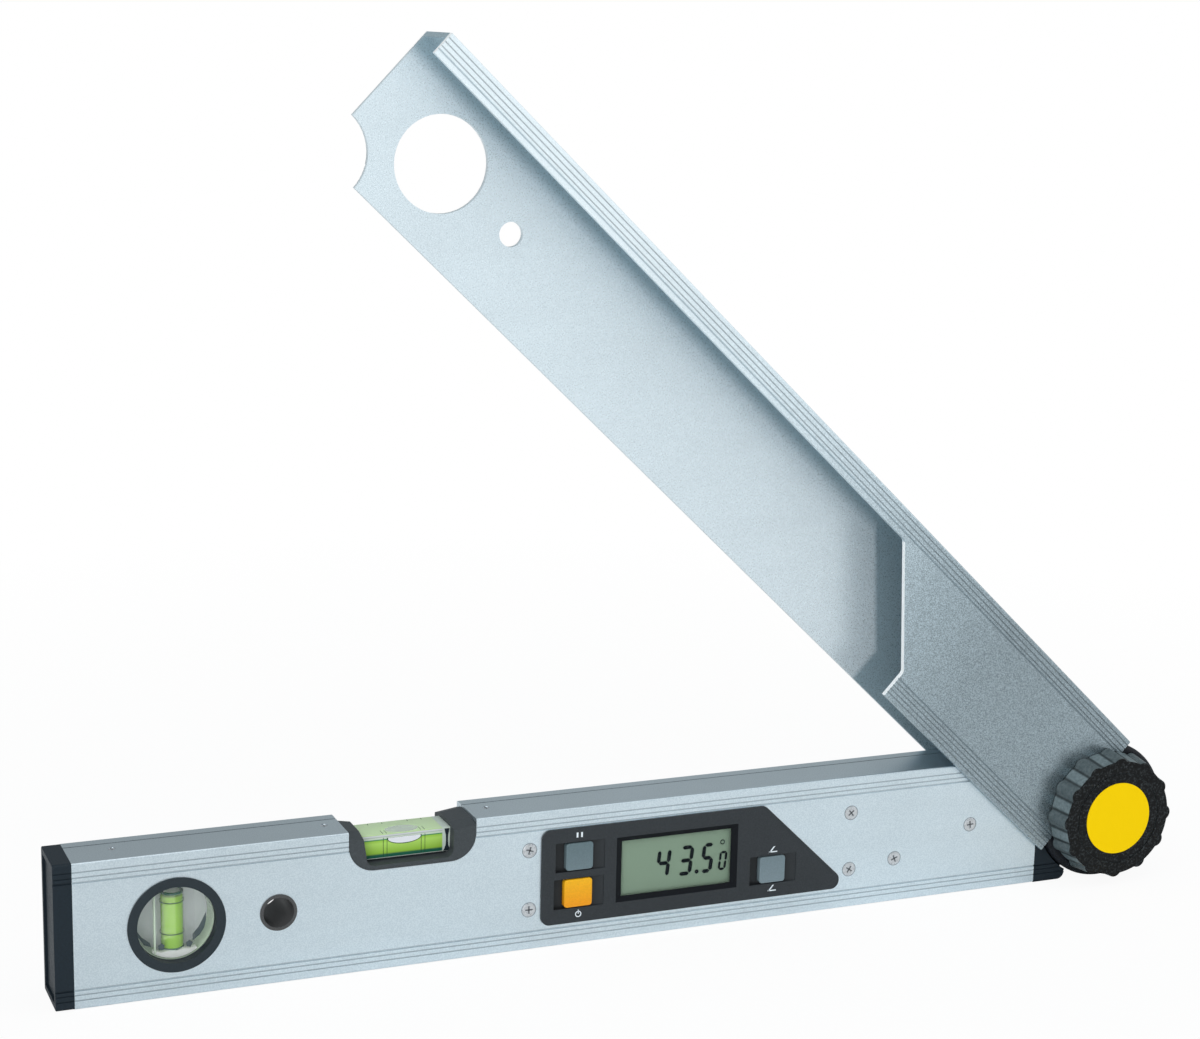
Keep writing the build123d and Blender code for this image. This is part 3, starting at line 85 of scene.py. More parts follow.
# ---- finishes ----
class Finish:
    """A node material. Every pattern reads Object coordinates, in metres."""

    def __init__(self, name):
        self.material = bpy.data.materials.new(name)
        self.material.use_nodes = True
        self.tree = self.material.node_tree
        self.tree.nodes.clear()
        self.out = self.tree.nodes.new("ShaderNodeOutputMaterial")
        self.shader = self.tree.nodes.new("ShaderNodeBsdfPrincipled")
        self.tree.links.new(self.shader.outputs[0], self.out.inputs["Surface"])
        self.place = self.tree.nodes.new("ShaderNodeTexCoord").outputs["Object"]

    def put(self, **values):
        """Set sockets of the shader to plain values."""
        for key, value in values.items():
            self.shader.inputs[key.replace("_", " ")].default_value = value
        return self

    def feed(self, socket, source):
        self.tree.links.new(source, self.shader.inputs[socket])
        return self

    def node(self, kind, inputs=(), **settings):
        made = self.tree.nodes.new("ShaderNode" + kind)
        for key, value in settings.items():
            setattr(made, key, value)
        for key, value in dict(inputs).items():
            if isinstance(value, bpy.types.NodeSocket):
                self.tree.links.new(value, made.inputs[key])
            else:
                made.inputs[key].default_value = value
        return made

    def noise(self, scale, detail=3.0, stretch=(1, 1, 1)):
        mapping = self.node("Mapping", {"Vector": self.place, "Scale": stretch})
        made = self.node("TexNoise", {
            "Vector": mapping.outputs[0], "Scale": scale, "Detail": detail, "Roughness": 0.6,
        })
        return made.outputs["Fac"]

    def ramp(self, fac, low, high, start=0.35, end=0.65):
        """From low to high, colours or greys, as the factor goes from start to end."""
        made = self.node("ValToRGB", {"Fac": fac})
        for stop, (place, value) in enumerate(((start, low), (end, high))):
            colour = value if isinstance(value, tuple) else (value, value, value)
            made.color_ramp.elements[stop].position = place
            made.color_ramp.elements[stop].color = (*colour, 1)
        return made.outputs["Color"]

    def between(self, fac, one, other, blend="MIX"):
        """A mix of two colours; the Mix node's colour sockets are 6 and 7, and 2 comes out."""
        made = self.node("Mix", {"Factor": fac}, data_type="RGBA", blend_type=blend)
        for place, value in ((6, one), (7, other)):
            if isinstance(value, bpy.types.NodeSocket):
                self.tree.links.new(value, made.inputs[place])
            else:
                made.inputs[place].default_value = (*value, 1)
        return made.outputs[2]

    def times(self, one, other):
        return self.between(1.0, one, other, "MULTIPLY")

    def reckon(self, kind, one, other=0.0):
        return self.node("Math", {0: one, 1: other}, operation=kind).outputs[0]

    def dot(self, place, way):
        made = self.node("VectorMath", {0: place, 1: way}, operation="DOT_PRODUCT")
        return made.outputs["Value"]

    def from_pivot(self):
        made = self.node("VectorMath", {0: self.place, 1: PIVOT}, operation="SUBTRACT")
        return made.outputs[0]

    def rise(self, value, low, high, first=0.0, last=1.0):
        """From first to last as the value goes from low to high."""
        made = self.node("MapRange", {
            "Value": value, "From Min": low, "From Max": high, "To Min": first, "To Max": last,
        })
        return made.outputs[0]

    def along(self, axis, low, high):
        """0 to 1 as the place goes from low to high on one axis."""
        split = self.node("SeparateXYZ", {0: self.place})
        return self.rise(split.outputs[axis], low, high)

    def lines(self, height, places, width, dark):
        """Dark lines where the height is one of the places, as a factor."""
        factor = None
        for place in places:
            away = self.reckon("ABSOLUTE", self.reckon("SUBTRACT", height, place))
            line = self.rise(away, width * 0.3, width, dark, 1.0)
            factor = line if factor is None else self.reckon("MULTIPLY", factor, line)
        return factor

    def only(self, mask, factor):
        """The factor where the mask is 1, and 1 elsewhere."""
        missing = self.reckon("MULTIPLY", mask, self.reckon("SUBTRACT", 1.0, factor))
        return self.reckon("SUBTRACT", 1.0, missing)

    def bump(self, height, distance, strength=1.0):
        made = self.node("Bump", {"Height": height, "Distance": distance, "Strength": strength})
        return self.feed("Normal", made.outputs[0])


def anodised(name, light, dark, roughness, shade):
    """Blasted, clear anodised aluminium: sparkling grain, faint clouds, long handling marks."""
    finish = Finish(name).put(Metallic=1.0)
    grain = finish.noise(1900, 2.0)
    clouds = finish.ramp(finish.noise(26, 3.0), 0.96, 1.0, 0.3, 0.7)
    marks = finish.ramp(finish.noise(90, 2.0, (0.12, 1, 1)), 0.98, 1.0, 0.3, 0.6)
    tone = finish.times(finish.ramp(grain, dark, light, 0.38, 0.64), clouds)
    finish.feed("Base Color", shade(finish, finish.times(tone, marks)))
    finish.feed("Roughness", finish.ramp(grain, roughness - 0.05, roughness + 0.08))
    return finish.bump(grain, 0.00003, 0.6).material


def plastic(name, colour, roughness, grain=0.00004, scale=1700, spread=1.35, specular=0.5):
    """Moulded plastic with an eroded grain, whose specks are lighter by the spread."""
    finish = Finish(name).put(Base_Color=(*colour, 1), Specular_IOR_Level=specular)
    speck = finish.noise(scale, 3.0)
    if spread > 1.0:
        light = tuple(min(1.0, c * spread) for c in colour)
        finish.feed("Base Color", finish.ramp(speck, colour, light, 0.4, 0.75))
    finish.feed("Roughness", finish.ramp(speck, roughness - 0.06, roughness + 0.08))
    return finish.bump(speck, grain, 0.6).material


def film(name, colour, alpha, roughness=0.05, specular=0.5):
    """A thin clear or frosted wall that lets light straight through."""
    finish = Finish(name).put(Base_Color=(*colour, 1), Alpha=alpha, Specular_IOR_Level=specular)
    finish.feed("Roughness", finish.ramp(finish.noise(400, 2.0), roughness, roughness + 0.02))
    return finish.material


def clear(name, colour, ior=1.47, roughness=0.0, clearness=1.0):
    """Clear or tinted plastic or liquid. Inside another clear body, ior is relative to it."""
    finish = Finish(name).put(Base_Color=(*colour, 1), IOR=ior, Transmission_Weight=clearness)
    finish.feed("Roughness", finish.ramp(finish.noise(400, 2.0), roughness, roughness + 0.012))
    return finish.material


def metal(name, colour, roughness):
    """Plated or turned metal with a little wear."""
    finish = Finish(name).put(Metallic=1.0)
    wear = finish.noise(900, 3.0)
    low = tuple(c * 0.8 for c in colour)
    finish.feed("Base Color", finish.ramp(wear, low, colour))
    finish.feed("Roughness", finish.ramp(wear, roughness, roughness + 0.12))
    return finish.bump(wear, 0.00001, 0.5).material


def panel_plastic():
    """The display panel: a grained charcoal face; its recesses painted nearly black as shade."""
    finish = Finish("panel_plastic").put(Specular_IOR_Level=0.35)
    speck = finish.noise(2200, 3.0)
    face = finish.ramp(speck, (0.020, 0.024, 0.028), (0.036, 0.042, 0.048), 0.4, 0.75)
    # painted shade: everything behind the bezel face, in the recesses, is darker
    recess_shade = finish.along(1, BEZEL_FACE + 0.0002, BEZEL_FACE + 0.0008)
    finish.feed("Base Color", finish.between(recess_shade, face, (0.012, 0.014, 0.016)))
    finish.feed("Roughness", finish.ramp(speck, 0.40, 0.55))
    return finish.bump(speck, 0.00003, 0.6).material


def knob_plastic():
    """Coarse black grain on the face; the flanks polished by fingers, lighter in the hollows
    as a painted reflection, with a painted shade along each ridge's foot.
    """
    finish = Finish("knob_plastic").put(Specular_IOR_Level=0.20)
    speck = finish.noise(1150, 4.0)
    face = finish.ramp(speck, (0.0005, 0.0008, 0.001), (0.050, 0.058, 0.062), 0.50, 0.74)
    split = finish.node("SeparateXYZ", {0: finish.from_pivot()})
    turn = finish.reckon("ARCTAN2", split.outputs[2], split.outputs[0])
    from_ridge = finish.reckon("PINGPONG", turn, math.radians(180 / KNOB_RIDGES))
    foot = finish.reckon("ABSOLUTE", finish.reckon("SUBTRACT", from_ridge, RIDGE_FOOT))
    # painted shade along each ridge's foot; painted reflection lighter across the hollows
    crease_shade = finish.rise(foot, math.radians(0.5), math.radians(2.2), 0.30, 1.0)
    hollow_reflection = finish.rise(from_ridge, math.radians(8.5), math.radians(10), 1.1, 1.9)
    side = finish.ramp(finish.noise(700, 3.0), (0.062, 0.082, 0.088), (0.096, 0.120, 0.127))
    side = finish.times(side, finish.reckon("MULTIPLY", crease_shade, hollow_reflection))
    behind = finish.along(1, KNOB_FACE + 0.00025, KNOB_FACE + 0.0006)
    rough = finish.between(behind, finish.ramp(speck, 0.44, 0.60), (0.30, 0.30, 0.30))
    finish.feed("Base Color", finish.between(behind, face, side))
    finish.feed("Roughness", rough)
    return finish.bump(speck, 0.00012, 0.5).material


def button_plastic(name, low, high, bottom, top):
    """A soft pillow cap, its colour painted with light and shade from its lower edge to its upper edge."""
    finish = Finish(name).put(Specular_IOR_Level=0.3)
    speck = finish.noise(2200, 3.0)
    # painted light and shade: one colour at the lower edge, another at the upper
    tone = finish.between(finish.along(2, bottom, top), high, low)
    finish.feed("Base Color", finish.times(tone, finish.ramp(speck, 0.86, 1.0)))
    finish.feed("Roughness", finish.ramp(speck, 0.34, 0.46))
    return finish.bump(speck, 0.00003, 0.5).material


def bar_shade(finish, tone):
    """Painted shade: dark lines in the grooves near the bar's edges and on its top; the left end painted darker.
    """
    split = finish.node("SeparateXYZ", {0: finish.place})
    heights = [*BAR_GROOVES, *(BAR_HEIGHT - inwards for inwards in BAR_GROOVES)]
    # painted shade in the grooves
    sides = finish.lines(split.outputs[2], heights, 0.0004, 0.72)
    top_groove = finish.lines(split.outputs[1], [0.0065], 0.0005, 0.5)
    on_top = finish.along(2, BAR_HEIGHT - 0.0010, BAR_HEIGHT - 0.0006)
    lines = finish.reckon("MULTIPLY", sides, finish.only(on_top, top_groove))
    # painted shade: darker towards the left end
    left = finish.ramp(finish.along(0, -0.23, 0.02), 0.84, 1.0, 0.0, 1.0)
    return finish.times(tone, finish.times(left, lines))


def arm_shade(finish, tone):
    """Painted shade in the grooves of the outer faces and on the front plate, darker and bluer
    towards the hub, where the grain is coarser with wear; a matt inside with a painted shadow
    under the lip and behind the front wall; bare cut faces painted white as a highlight.
    """
    away = finish.from_pivot()
    height = finish.dot(away, ARM_OUT)
    along = finish.dot(away, ARM_ALONG)
    depth = finish.node("SeparateXYZ", {0: finish.place}).outputs[1]
    far_out = finish.reckon("ABSOLUTE", depth)
    outside = finish.rise(far_out, ARM_OUTSIDE - 0.0007, ARM_OUTSIDE - 0.0004)
    within = finish.reckon("SUBTRACT", 1.0, outside)
    front = finish.rise(depth, -ARM_OUTSIDE + 0.0008, -ARM_OUTSIDE + 0.0005)

    grooves = [ARM_UPPER_EDGE - inwards for inwards in (0.0022, 0.0043, 0.0064, 0.0080)]
    grooves += [ARM_LOWER_EDGE + inwards for inwards in (0.0022, 0.0041, 0.0060, 0.0079, 0.0096)]
    # painted shade in the grooves of the outer faces
    lines = finish.only(outside, finish.lines(height, grooves, 0.0004, 0.60))
    # painted shade: the front face darker towards the hub
    hub = finish.only(front, finish.rise(along, 0.10, 0.19, 0.62, 1.0))
    # a coarser grain towards the hub with wear; the same mask paints the front face bluer there as shade
    wear_and_painted_shade = finish.rise(along, 0.14, 0.36, 1.0, 0.10)
    wear_and_painted_shade = finish.reckon("MULTIPLY", wear_and_painted_shade, finish.only(within, 0.45))
    sparkle = finish.only(wear_and_painted_shade, finish.ramp(finish.noise(2300, 2.0), 0.50, 1.0, 0.36, 0.62))
    painted_blue_shade = finish.between(finish.reckon("MULTIPLY", front, wear_and_painted_shade), WHITE, (0.88, 0.96, 1.0))

    # painted shadow: inside faces under the lip and behind the front wall are darkened, every inside face a little
    under_lip = finish.rise(height, 0.0190, 0.0246)
    slant = finish.dot(finish.place, (1.0, 0.0, 0.0545))
    behind_slant = finish.rise(slant, 0.1496, 0.1520)
    behind_square = finish.rise(along, 0.1305, 0.1281)
    behind_wall = finish.reckon("MAXIMUM", behind_slant, behind_square)
    painted_shadow = finish.reckon("MULTIPLY", within, finish.reckon("MAXIMUM", under_lip, behind_wall))
    shade = finish.between(within, WHITE, (0.97, 0.99, 1.0))
    shade = finish.between(painted_shadow, shade, (0.44, 0.53, 0.57))

    # the cut faces of the front wall: bare metal, painted white and not metallic as a highlight
    facing = finish.node("TexCoord").outputs["Normal"]
    cut = finish.rise(finish.dot(facing, ARM_ALONG), 0.55, 0.62)
    in_front_wall = finish.rise(depth, -ARM_INSIDE + 0.0005, -ARM_INSIDE + 0.0001)
    machined_and_painted_highlight = finish.reckon("MULTIPLY", cut, in_front_wall)
    lip = finish.reckon("MULTIPLY", finish.rise(along, 0.15, 0.25, 0.0, 0.9), front)
    matt = finish.reckon("MAXIMUM", finish.reckon("MULTIPLY", 0.6, within), lip)
    matt = finish.reckon("MAXIMUM", machined_and_painted_highlight, matt)
    finish.feed("Metallic", finish.reckon("SUBTRACT", 1.0, matt))

    factor = finish.times(finish.reckon("MULTIPLY", hub, lines), sparkle)
    factor = finish.times(finish.times(factor, painted_blue_shade), shade)
    return finish.between(machined_and_painted_highlight, finish.times(tone, factor), (0.93, 0.95, 0.96))


def vial_block_finish():
    """The clear block, painted in bands up its height as the light through its bore looks: a white
    highlight line at the foot, a dark band, greens, a pale highlight and lilac near a pale top,
    and one pale end. The bands over the bore are a little clearer."""
    finish = Finish("top_vial_acrylic").put(IOR=1.47)
    white, deep, edge = (0.86, 0.93, 0.86), (0.004, 0.13, 0.075), (0.02, 0.26, 0.10)
    green, bright = (0.36, 0.66, 0.05), (0.50, 0.80, 0.14)
    pale, grey, lilac = (0.74, 0.82, 0.72), (0.36, 0.42, 0.42), (0.78, 0.79, 0.83)
    stops = [
        (0.0, white), (0.030, white), (0.045, deep), (0.15, deep), (0.22, green), (0.62, bright),
        (0.745, green), (0.76, edge), (0.785, edge), (0.80, pale), (0.87, pale), (0.885, grey),
        (0.905, lilac), (0.96, lilac), (0.975, (0.50, 0.72, 0.32)), (0.992, (0.70, 0.92, 0.45)),
        (1.0, (0.76, 0.95, 0.60)),
    ]
    # painted light: the colour bands follow the height
    painted_bands = finish.node("ValToRGB", {"Fac": finish.along(2, VIAL_FOOT, VIAL_TOP)})
    ramp = painted_bands.color_ramp
    for place, colour in stops[1:-1]:
        ramp.elements.new(place).color = (*colour, 1)
    ramp.elements[0].color = (*stops[0][1], 1)
    ramp.elements[len(stops) - 1].color = (*stops[-1][1], 1)
    end = finish.along(0, LIQUID_END - 0.0002, LIQUID_END + 0.0002)
    finish.feed("Base Color", finish.between(end, painted_bands.outputs["Color"], (0.74, 0.84, 0.76)))
    clearness = finish.ramp(finish.along(2, 0.0536, 0.0542), 0.22, 0.30, 0.0, 1.0)
    return finish.feed("Transmission Weight", clearness).material


BAR_ALUMINIUM = anodised(
    "anodised_bar", (0.84, 0.93, 0.98), (0.70, 0.80, 0.86), 0.38, bar_shade)
ARM_ALUMINIUM = anodised(
    "anodised_arm", (0.89, 0.96, 1.0), (0.84, 0.92, 0.96), 0.30, arm_shade)
STEEL = metal("zinc_steel", (0.74, 0.75, 0.77), 0.24)
BRASS = metal("turned_brass", (0.80, 0.62, 0.28), 0.25)
CELL = metal("cell_wrap", (0.42, 0.45, 0.48), 0.30)

BLACK = plastic("charcoal_plastic", (0.008, 0.015, 0.022), 0.46, specular=0.22)
RING_BLACK = plastic("ring_plastic", (0.018, 0.026, 0.032), 0.5, specular=0.25)
GROMMET = plastic("grommet_plastic", (0.055, 0.055, 0.056), 0.45, specular=0.4)
SADDLE_BLACK = plastic(
    "saddle_plastic", (0.044, 0.051, 0.056), 0.5, grain=0.00005, scale=1500, specular=0.3)
HUB_BLACK = plastic(
    "hub_plastic", (0.005, 0.006, 0.008), 0.42,
    grain=0.00010, scale=1200, spread=4.0, specular=0.15)
# painted shade for the sloped recess round the display window
FRAME_SHADE = plastic(
    "display_frame_painted_shade", (0.004, 0.005, 0.007), 0.5,
    grain=0.00002, scale=2200, spread=1.8, specular=0.12)
PANEL = panel_plastic()
KNOB = knob_plastic()
GREY_BUTTON = button_plastic(
    "grey_button_plastic", (0.125, 0.180, 0.200), (0.20, 0.26, 0.29), 0.018, 0.046)
ORANGE_BUTTON = button_plastic(
    "orange_button_plastic", (0.98, 0.50, 0.01), (0.93, 0.34, 0.005), 0.017, 0.0295)
YELLOW_LABEL = plastic(
    "yellow_label_film", (1.0, 0.66, 0.0), 0.40,
    grain=0.000008, scale=1500, spread=1.0, specular=0.06)
LCD = plastic(
    "lcd_glass", (0.270, 0.370, 0.270), 0.42,
    grain=0.000004, scale=1200, spread=1.05, specular=0.2)
INK = plastic(
    "segment_ink", (0.003, 0.006, 0.009), 0.5,
    grain=0.000004, scale=1200, spread=1.5, specular=0.1)
PRINT = plastic(
    "pale_print", (0.78, 0.84, 0.88), 0.5, grain=0.000004, scale=1200, spread=1.05)
BOARD = plastic("circuit_board_mask", (0.01, 0.12, 0.05), 0.35)
CABLE = plastic("flat_cable", (0.35, 0.35, 0.36), 0.5)
RING_LINE = plastic("vial_ring_line", (0.01, 0.06, 0.02), 0.5)
# painted shade in the screws' cross recesses, and painted shadow in the gap round each head
SCREW_RECESS_SHADE = plastic("screw_recess_painted_shade", (0.10, 0.11, 0.12), 0.5)
SCREW_GAP_SHADOW = plastic("screw_gap_painted_shadow", (0.26, 0.30, 0.33), 0.5)

ACRYLIC = clear("clear_acrylic", (0.97, 0.99, 0.98))
VIAL_BODY = vial_block_finish()
VIAL_LIQUID = clear("vial_liquid_green", (0.50, 0.78, 0.05), ior=0.96, clearness=0.35)
VIAL_BUBBLE = clear(
    "vial_bubble", (0.86, 0.87, 0.92), ior=0.90, roughness=0.10, clearness=0.15)
BUBBLE_TOP = film("vial_bubble_top", (0.74, 0.76, 0.80), 0.5, 0.2)
# painted shade: dark green where the tube's ends bend the light
PAINTED_DARK_EDGE = film("vial_painted_dark_edge", (0.03, 0.16, 0.10), 0.75, 0.1)
PANE = film("display_pane", (0.02, 0.03, 0.025), 0.06, 0.04)
PLUMB_BODY = film("plumb_acrylic", (0.80, 0.86, 0.84), 0.05, 0.02)
PLUMB_BACK = film("plumb_frosted_back", (0.84, 0.86, 0.90), 0.80, 0.4, 0.2)
# painted highlight: pale green for the bright crescent and edge that the clear body bends light into
PLUMB_WALL_HIGHLIGHT = film("plumb_wall_painted_highlight", (0.78, 0.92, 0.74), 0.62, 0.1)
PLUMB_TUBE = film("plumb_tube", (0.86, 0.94, 0.84), 0.06, 0.02)
PLUMB_LIQUID = film("plumb_liquid", (0.43, 0.81, 0.045), 0.64, 0.3, 0.2)
# painted highlight: pale, half clear sheets for glints
CLEAR_GLINT = film("vial_clear_painted_glint", (0.95, 0.97, 0.93), 0.72, 0.1)
# painted reflection: dark grey
PAINTED_DARK_REFLECTION = film("vial_painted_dark_reflection", (0.10, 0.13, 0.14), 0.80, 0.2, 0.2)

SLOT_FINISH = {
    "anodised_aluminium": BAR_ALUMINIUM,
    "black_plastic": BLACK,
    "clear_acrylic": ACRYLIC,
    "vial_liquid": VIAL_LIQUID,
    "display_pane": PANE,
    "lcd_glass": LCD,
    "grey_button": GREY_BUTTON,
    "orange_button": ORANGE_BUTTON,
    "board_green": BOARD,
    "steel": STEEL,
    "brass": BRASS,
    "cell_wrap": CELL,
    "cable_sleeve": CABLE,
    "yellow_label": YELLOW_LABEL,
}
NODE_FINISH = {
    "upper_arm_channel": ARM_ALUMINIUM,
    "lock_knob": KNOB,
    "front_hub_cheek": HUB_BLACK,
    "rear_hub_cheek": HUB_BLACK,
    "display_bezel": PANEL,
    "top_vial_saddle": SADDLE_BLACK,
    "plumb_vial_front_ring": RING_BLACK,
    "plumb_vial_rear_ring": RING_BLACK,
    "hang_hole_grommet": GROMMET,
}
for subpart in frame["record"]["subparts"]:
    mesh = nodes[subpart["node"]].data
    mesh.materials.clear()
    mesh.materials.append(NODE_FINISH.get(subpart["node"], SLOT_FINISH[subpart["material_slot"]]))


# ---- making pieces ----
def piece(name, shape, finish, body, slot, *replaced):
    """Make one object of a bmesh, on a body, with a finish, instead of some nodes. The slot is not used."""
    bmesh.ops.remove_doubles(shape, verts=shape.verts, dist=1e-7)
    bmesh.ops.recalc_face_normals(shape, faces=shape.faces)
    mesh = bpy.data.meshes.new(name)
    shape.to_mesh(mesh)
    shape.free()
    mesh.shade_smooth()
    mesh.set_sharp_from_angle(angle=SMOOTH_BELOW)
    mesh.materials.append(finish)
    made = bpy.data.objects.new(name, mesh)
    scene.collection.objects.link(made)
    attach(made, body)
    if replaced:
        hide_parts(*replaced)


def rod(shape, radius, start, end, segments):
    """A closed cylinder between two points."""
    start, end = Vector(start), Vector(end)
    way = end - start
    turn = way.to_track_quat("Z", "Y").to_matrix().to_4x4()
    bmesh.ops.create_cone(
        shape, cap_ends=True, segments=segments, radius1=radius, radius2=radius,
        depth=way.length, matrix=Matrix.Translation((start + end) / 2) @ turn,
    )


def cuboid(shape, low, high):
    """A box between its lowest and highest corners."""
    low, high = Vector(low), Vector(high)
    place = Matrix.Translation((low + high) / 2) @ Matrix.Diagonal((*(high - low), 1))
    return bmesh.ops.create_cube(shape, size=1, matrix=place)["verts"]


def soften(shape, width, segments=2):
    """Round every sharp edge."""
    edges = [edge for edge in shape.edges if edge.calc_face_angle(0) > SHARP_ABOVE]
    bmesh.ops.bevel(
        shape, geom=edges, offset=width, segments=segments, profile=0.5,
        affect="EDGES", material=-1,
    )


def full_turn(shape, section, middle, axis, steps):
    bmesh.ops.spin(
        shape, geom=section, cent=middle, axis=axis, angle=2 * math.pi, steps=steps,
        use_merge=True, use_duplicate=False,
    )


def hoop(shape, middle, axis, radius, width, thickness, segments=72):
    """A thin ring round an axis: a small rectangle spun a full turn."""
    middle, axis = Vector(middle), Vector(axis)
    out = axis.orthogonal().normalized()
    corners = [
        shape.verts.new(middle + out * (radius + thickness * across) + axis * (width * along))
        for across, along in ((-0.5, -0.5), (0.5, -0.5), (0.5, 0.5), (-0.5, 0.5))
    ]
    edges = [shape.edges.new((corners[i], corners[i - 1])) for i in range(4)]
    full_turn(shape, corners + edges, middle, axis, segments)


def lathe(shape, middle, axis, profile, steps):
    """Spin a line of (radius, distance along the axis) points round an axis."""
    middle, axis = Vector(middle), Vector(axis)
    out = axis.orthogonal().normalized()
    row = [shape.verts.new(middle + out * radius + axis * along) for radius, along in profile]
    edges = [shape.edges.new(pair) for pair in zip(row, row[1:])]
    full_turn(shape, row + edges, middle, axis, steps)


def plate(shape, points, y, depth):
    """A flat shape given by its corners in X and Z, from a place on Y towards the front."""
    face = shape.faces.new([shape.verts.new((x, y, z)) for x, z in points])
    grown = bmesh.ops.extrude_face_region(shape, geom=[face])["geom"]
    moved = [vert for vert in grown if isinstance(vert, bmesh.types.BMVert)]
    bmesh.ops.translate(shape, verts=moved, vec=(0, -depth, 0))


def vial_plate(shape, points, y, depth):
    """The same in the vertical vial, its corners in millimetres from the vial's middle."""
    plate(shape, [(PLUMB.x + x * MM, PLUMB.z + z * MM) for x, z in points], y, depth)


def circle_points(radius, degrees):
    """Points of a circle at whole degrees, in X and Z."""
    return [
        (radius * math.cos(math.radians(angle)), radius * math.sin(math.radians(angle)))
        for angle in degrees
    ]


# ---- top vial: clear block, green liquid, bubble, marker lines, end plug ----
def top_vial():
    face, top = VIAL_FACE, VIAL_TOP
    shape = bmesh.new()
    cuboid(shape, (-0.1016, -face, VIAL_FOOT), (-0.0592, face, top))
    soften(shape, 0.0004, 3)
    piece("top_vial_clear_block", shape, VIAL_BODY, "level_bar", "clear_acrylic", "top_vial_block")

    shape = bmesh.new()
    rod(shape, 0.0043, (-0.0986, 0, TOP_VIAL.z), (LIQUID_END, 0, TOP_VIAL.z), 96)
    soften(shape, 0.0006, 3)
    piece(
        "top_vial_green_liquid", shape, VIAL_LIQUID, "level_bar", "vial_liquid",
        "top_vial_liquid")

    bubble_x, bubble_z, bubble_cut = TOP_VIAL.x + 0.0001, 0.0539, 0.0543
    bubble_length, bubble_height = 0.0070, 0.0023
    # the bubble, with a dark ring round it painted where its edge bends the light
    shape, bubble_edge_shade = bmesh.new(), bmesh.new()
    for y in (-face - 0.00001, face + 0.00001):
        for lens, grow, lift in ((bubble_edge_shade, 0.00035, 0.0), (shape, 0.0, 0.00002)):
            middle = Matrix.Translation((bubble_x, y + math.copysign(lift, y), bubble_z))
            size = Matrix.Diagonal((bubble_length + grow, 0.00001, bubble_height + grow, 1))
            bowl = bmesh.ops.create_uvsphere(
                lens, u_segments=48, v_segments=24, radius=1, matrix=middle @ size)["verts"]
            over = [vert for vert in bowl if vert.co.z > bubble_cut]
            bmesh.ops.delete(lens, geom=over, context="VERTS")
    piece("top_vial_bubble", shape, VIAL_BUBBLE, "level_bar", "clear_acrylic")
    piece("top_vial_bubble_painted_edge", bubble_edge_shade, RING_LINE, "level_bar", "black_plastic")

    shape = bmesh.new()
    oval = Matrix.Translation((bubble_x, -0.0030, top + 0.00001))
    oval = oval @ Matrix.Diagonal((bubble_length, 0.0040, 1, 1))
    bmesh.ops.create_cone(
        shape, cap_ends=True, segments=64, radius1=1, radius2=1, depth=0.00004, matrix=oval)
    piece("top_vial_bubble_top", shape, BUBBLE_TOP, "level_bar", "clear_acrylic")

    shape = bmesh.new()
    line, proud = 0.00010, 0.00003
    for side in (-1, 1):
        for offset in (-0.0008, 0.0008):
            x = TOP_VIAL.x + side * 0.0081 + offset
            for y in (-face - proud, face + proud):
                cuboid(shape, (x - line, y - proud, 0.0465), (x + line, y + proud, 0.0545))
            cuboid(shape, (x - line, -0.0070, top - proud), (x + line, -0.0030, top + proud))
    piece("top_vial_marker_lines", shape, RING_LINE, "level_bar", "black_plastic")

    shape = bmesh.new()
    plug_x, thick = -63.3, 0.00006
    half = [
        (1.7, 46.1), (1.1, 47.0), (0.55, 48.6), (0.42, 50.6), (0.5, 52.8), (0.9, 54.6),
        (1.1, 55.6),
    ]
    outline = [(plug_x + width, z) for width, z in half]
    outline += [(plug_x - width, z) for width, z in reversed(half)]
    for y in (-face, face + thick):
        plate(shape, [(x * MM, z * MM) for x, z in outline], y, thick)
    piece("top_vial_plug", shape, BLACK, "level_bar", "black_plastic")

    shape = bmesh.new()
    line = 0.00012
    for place in (-0.0115, -0.0055, 0.0055, 0.0115):
        x = TOP_VIAL.x + place
        cuboid(shape, (x - line, 0.0052, top - 0.00001), (x + line, 0.0066, top + 0.00004))
    piece("top_vial_scale_marks", shape, RING_LINE, "level_bar", "black_plastic")


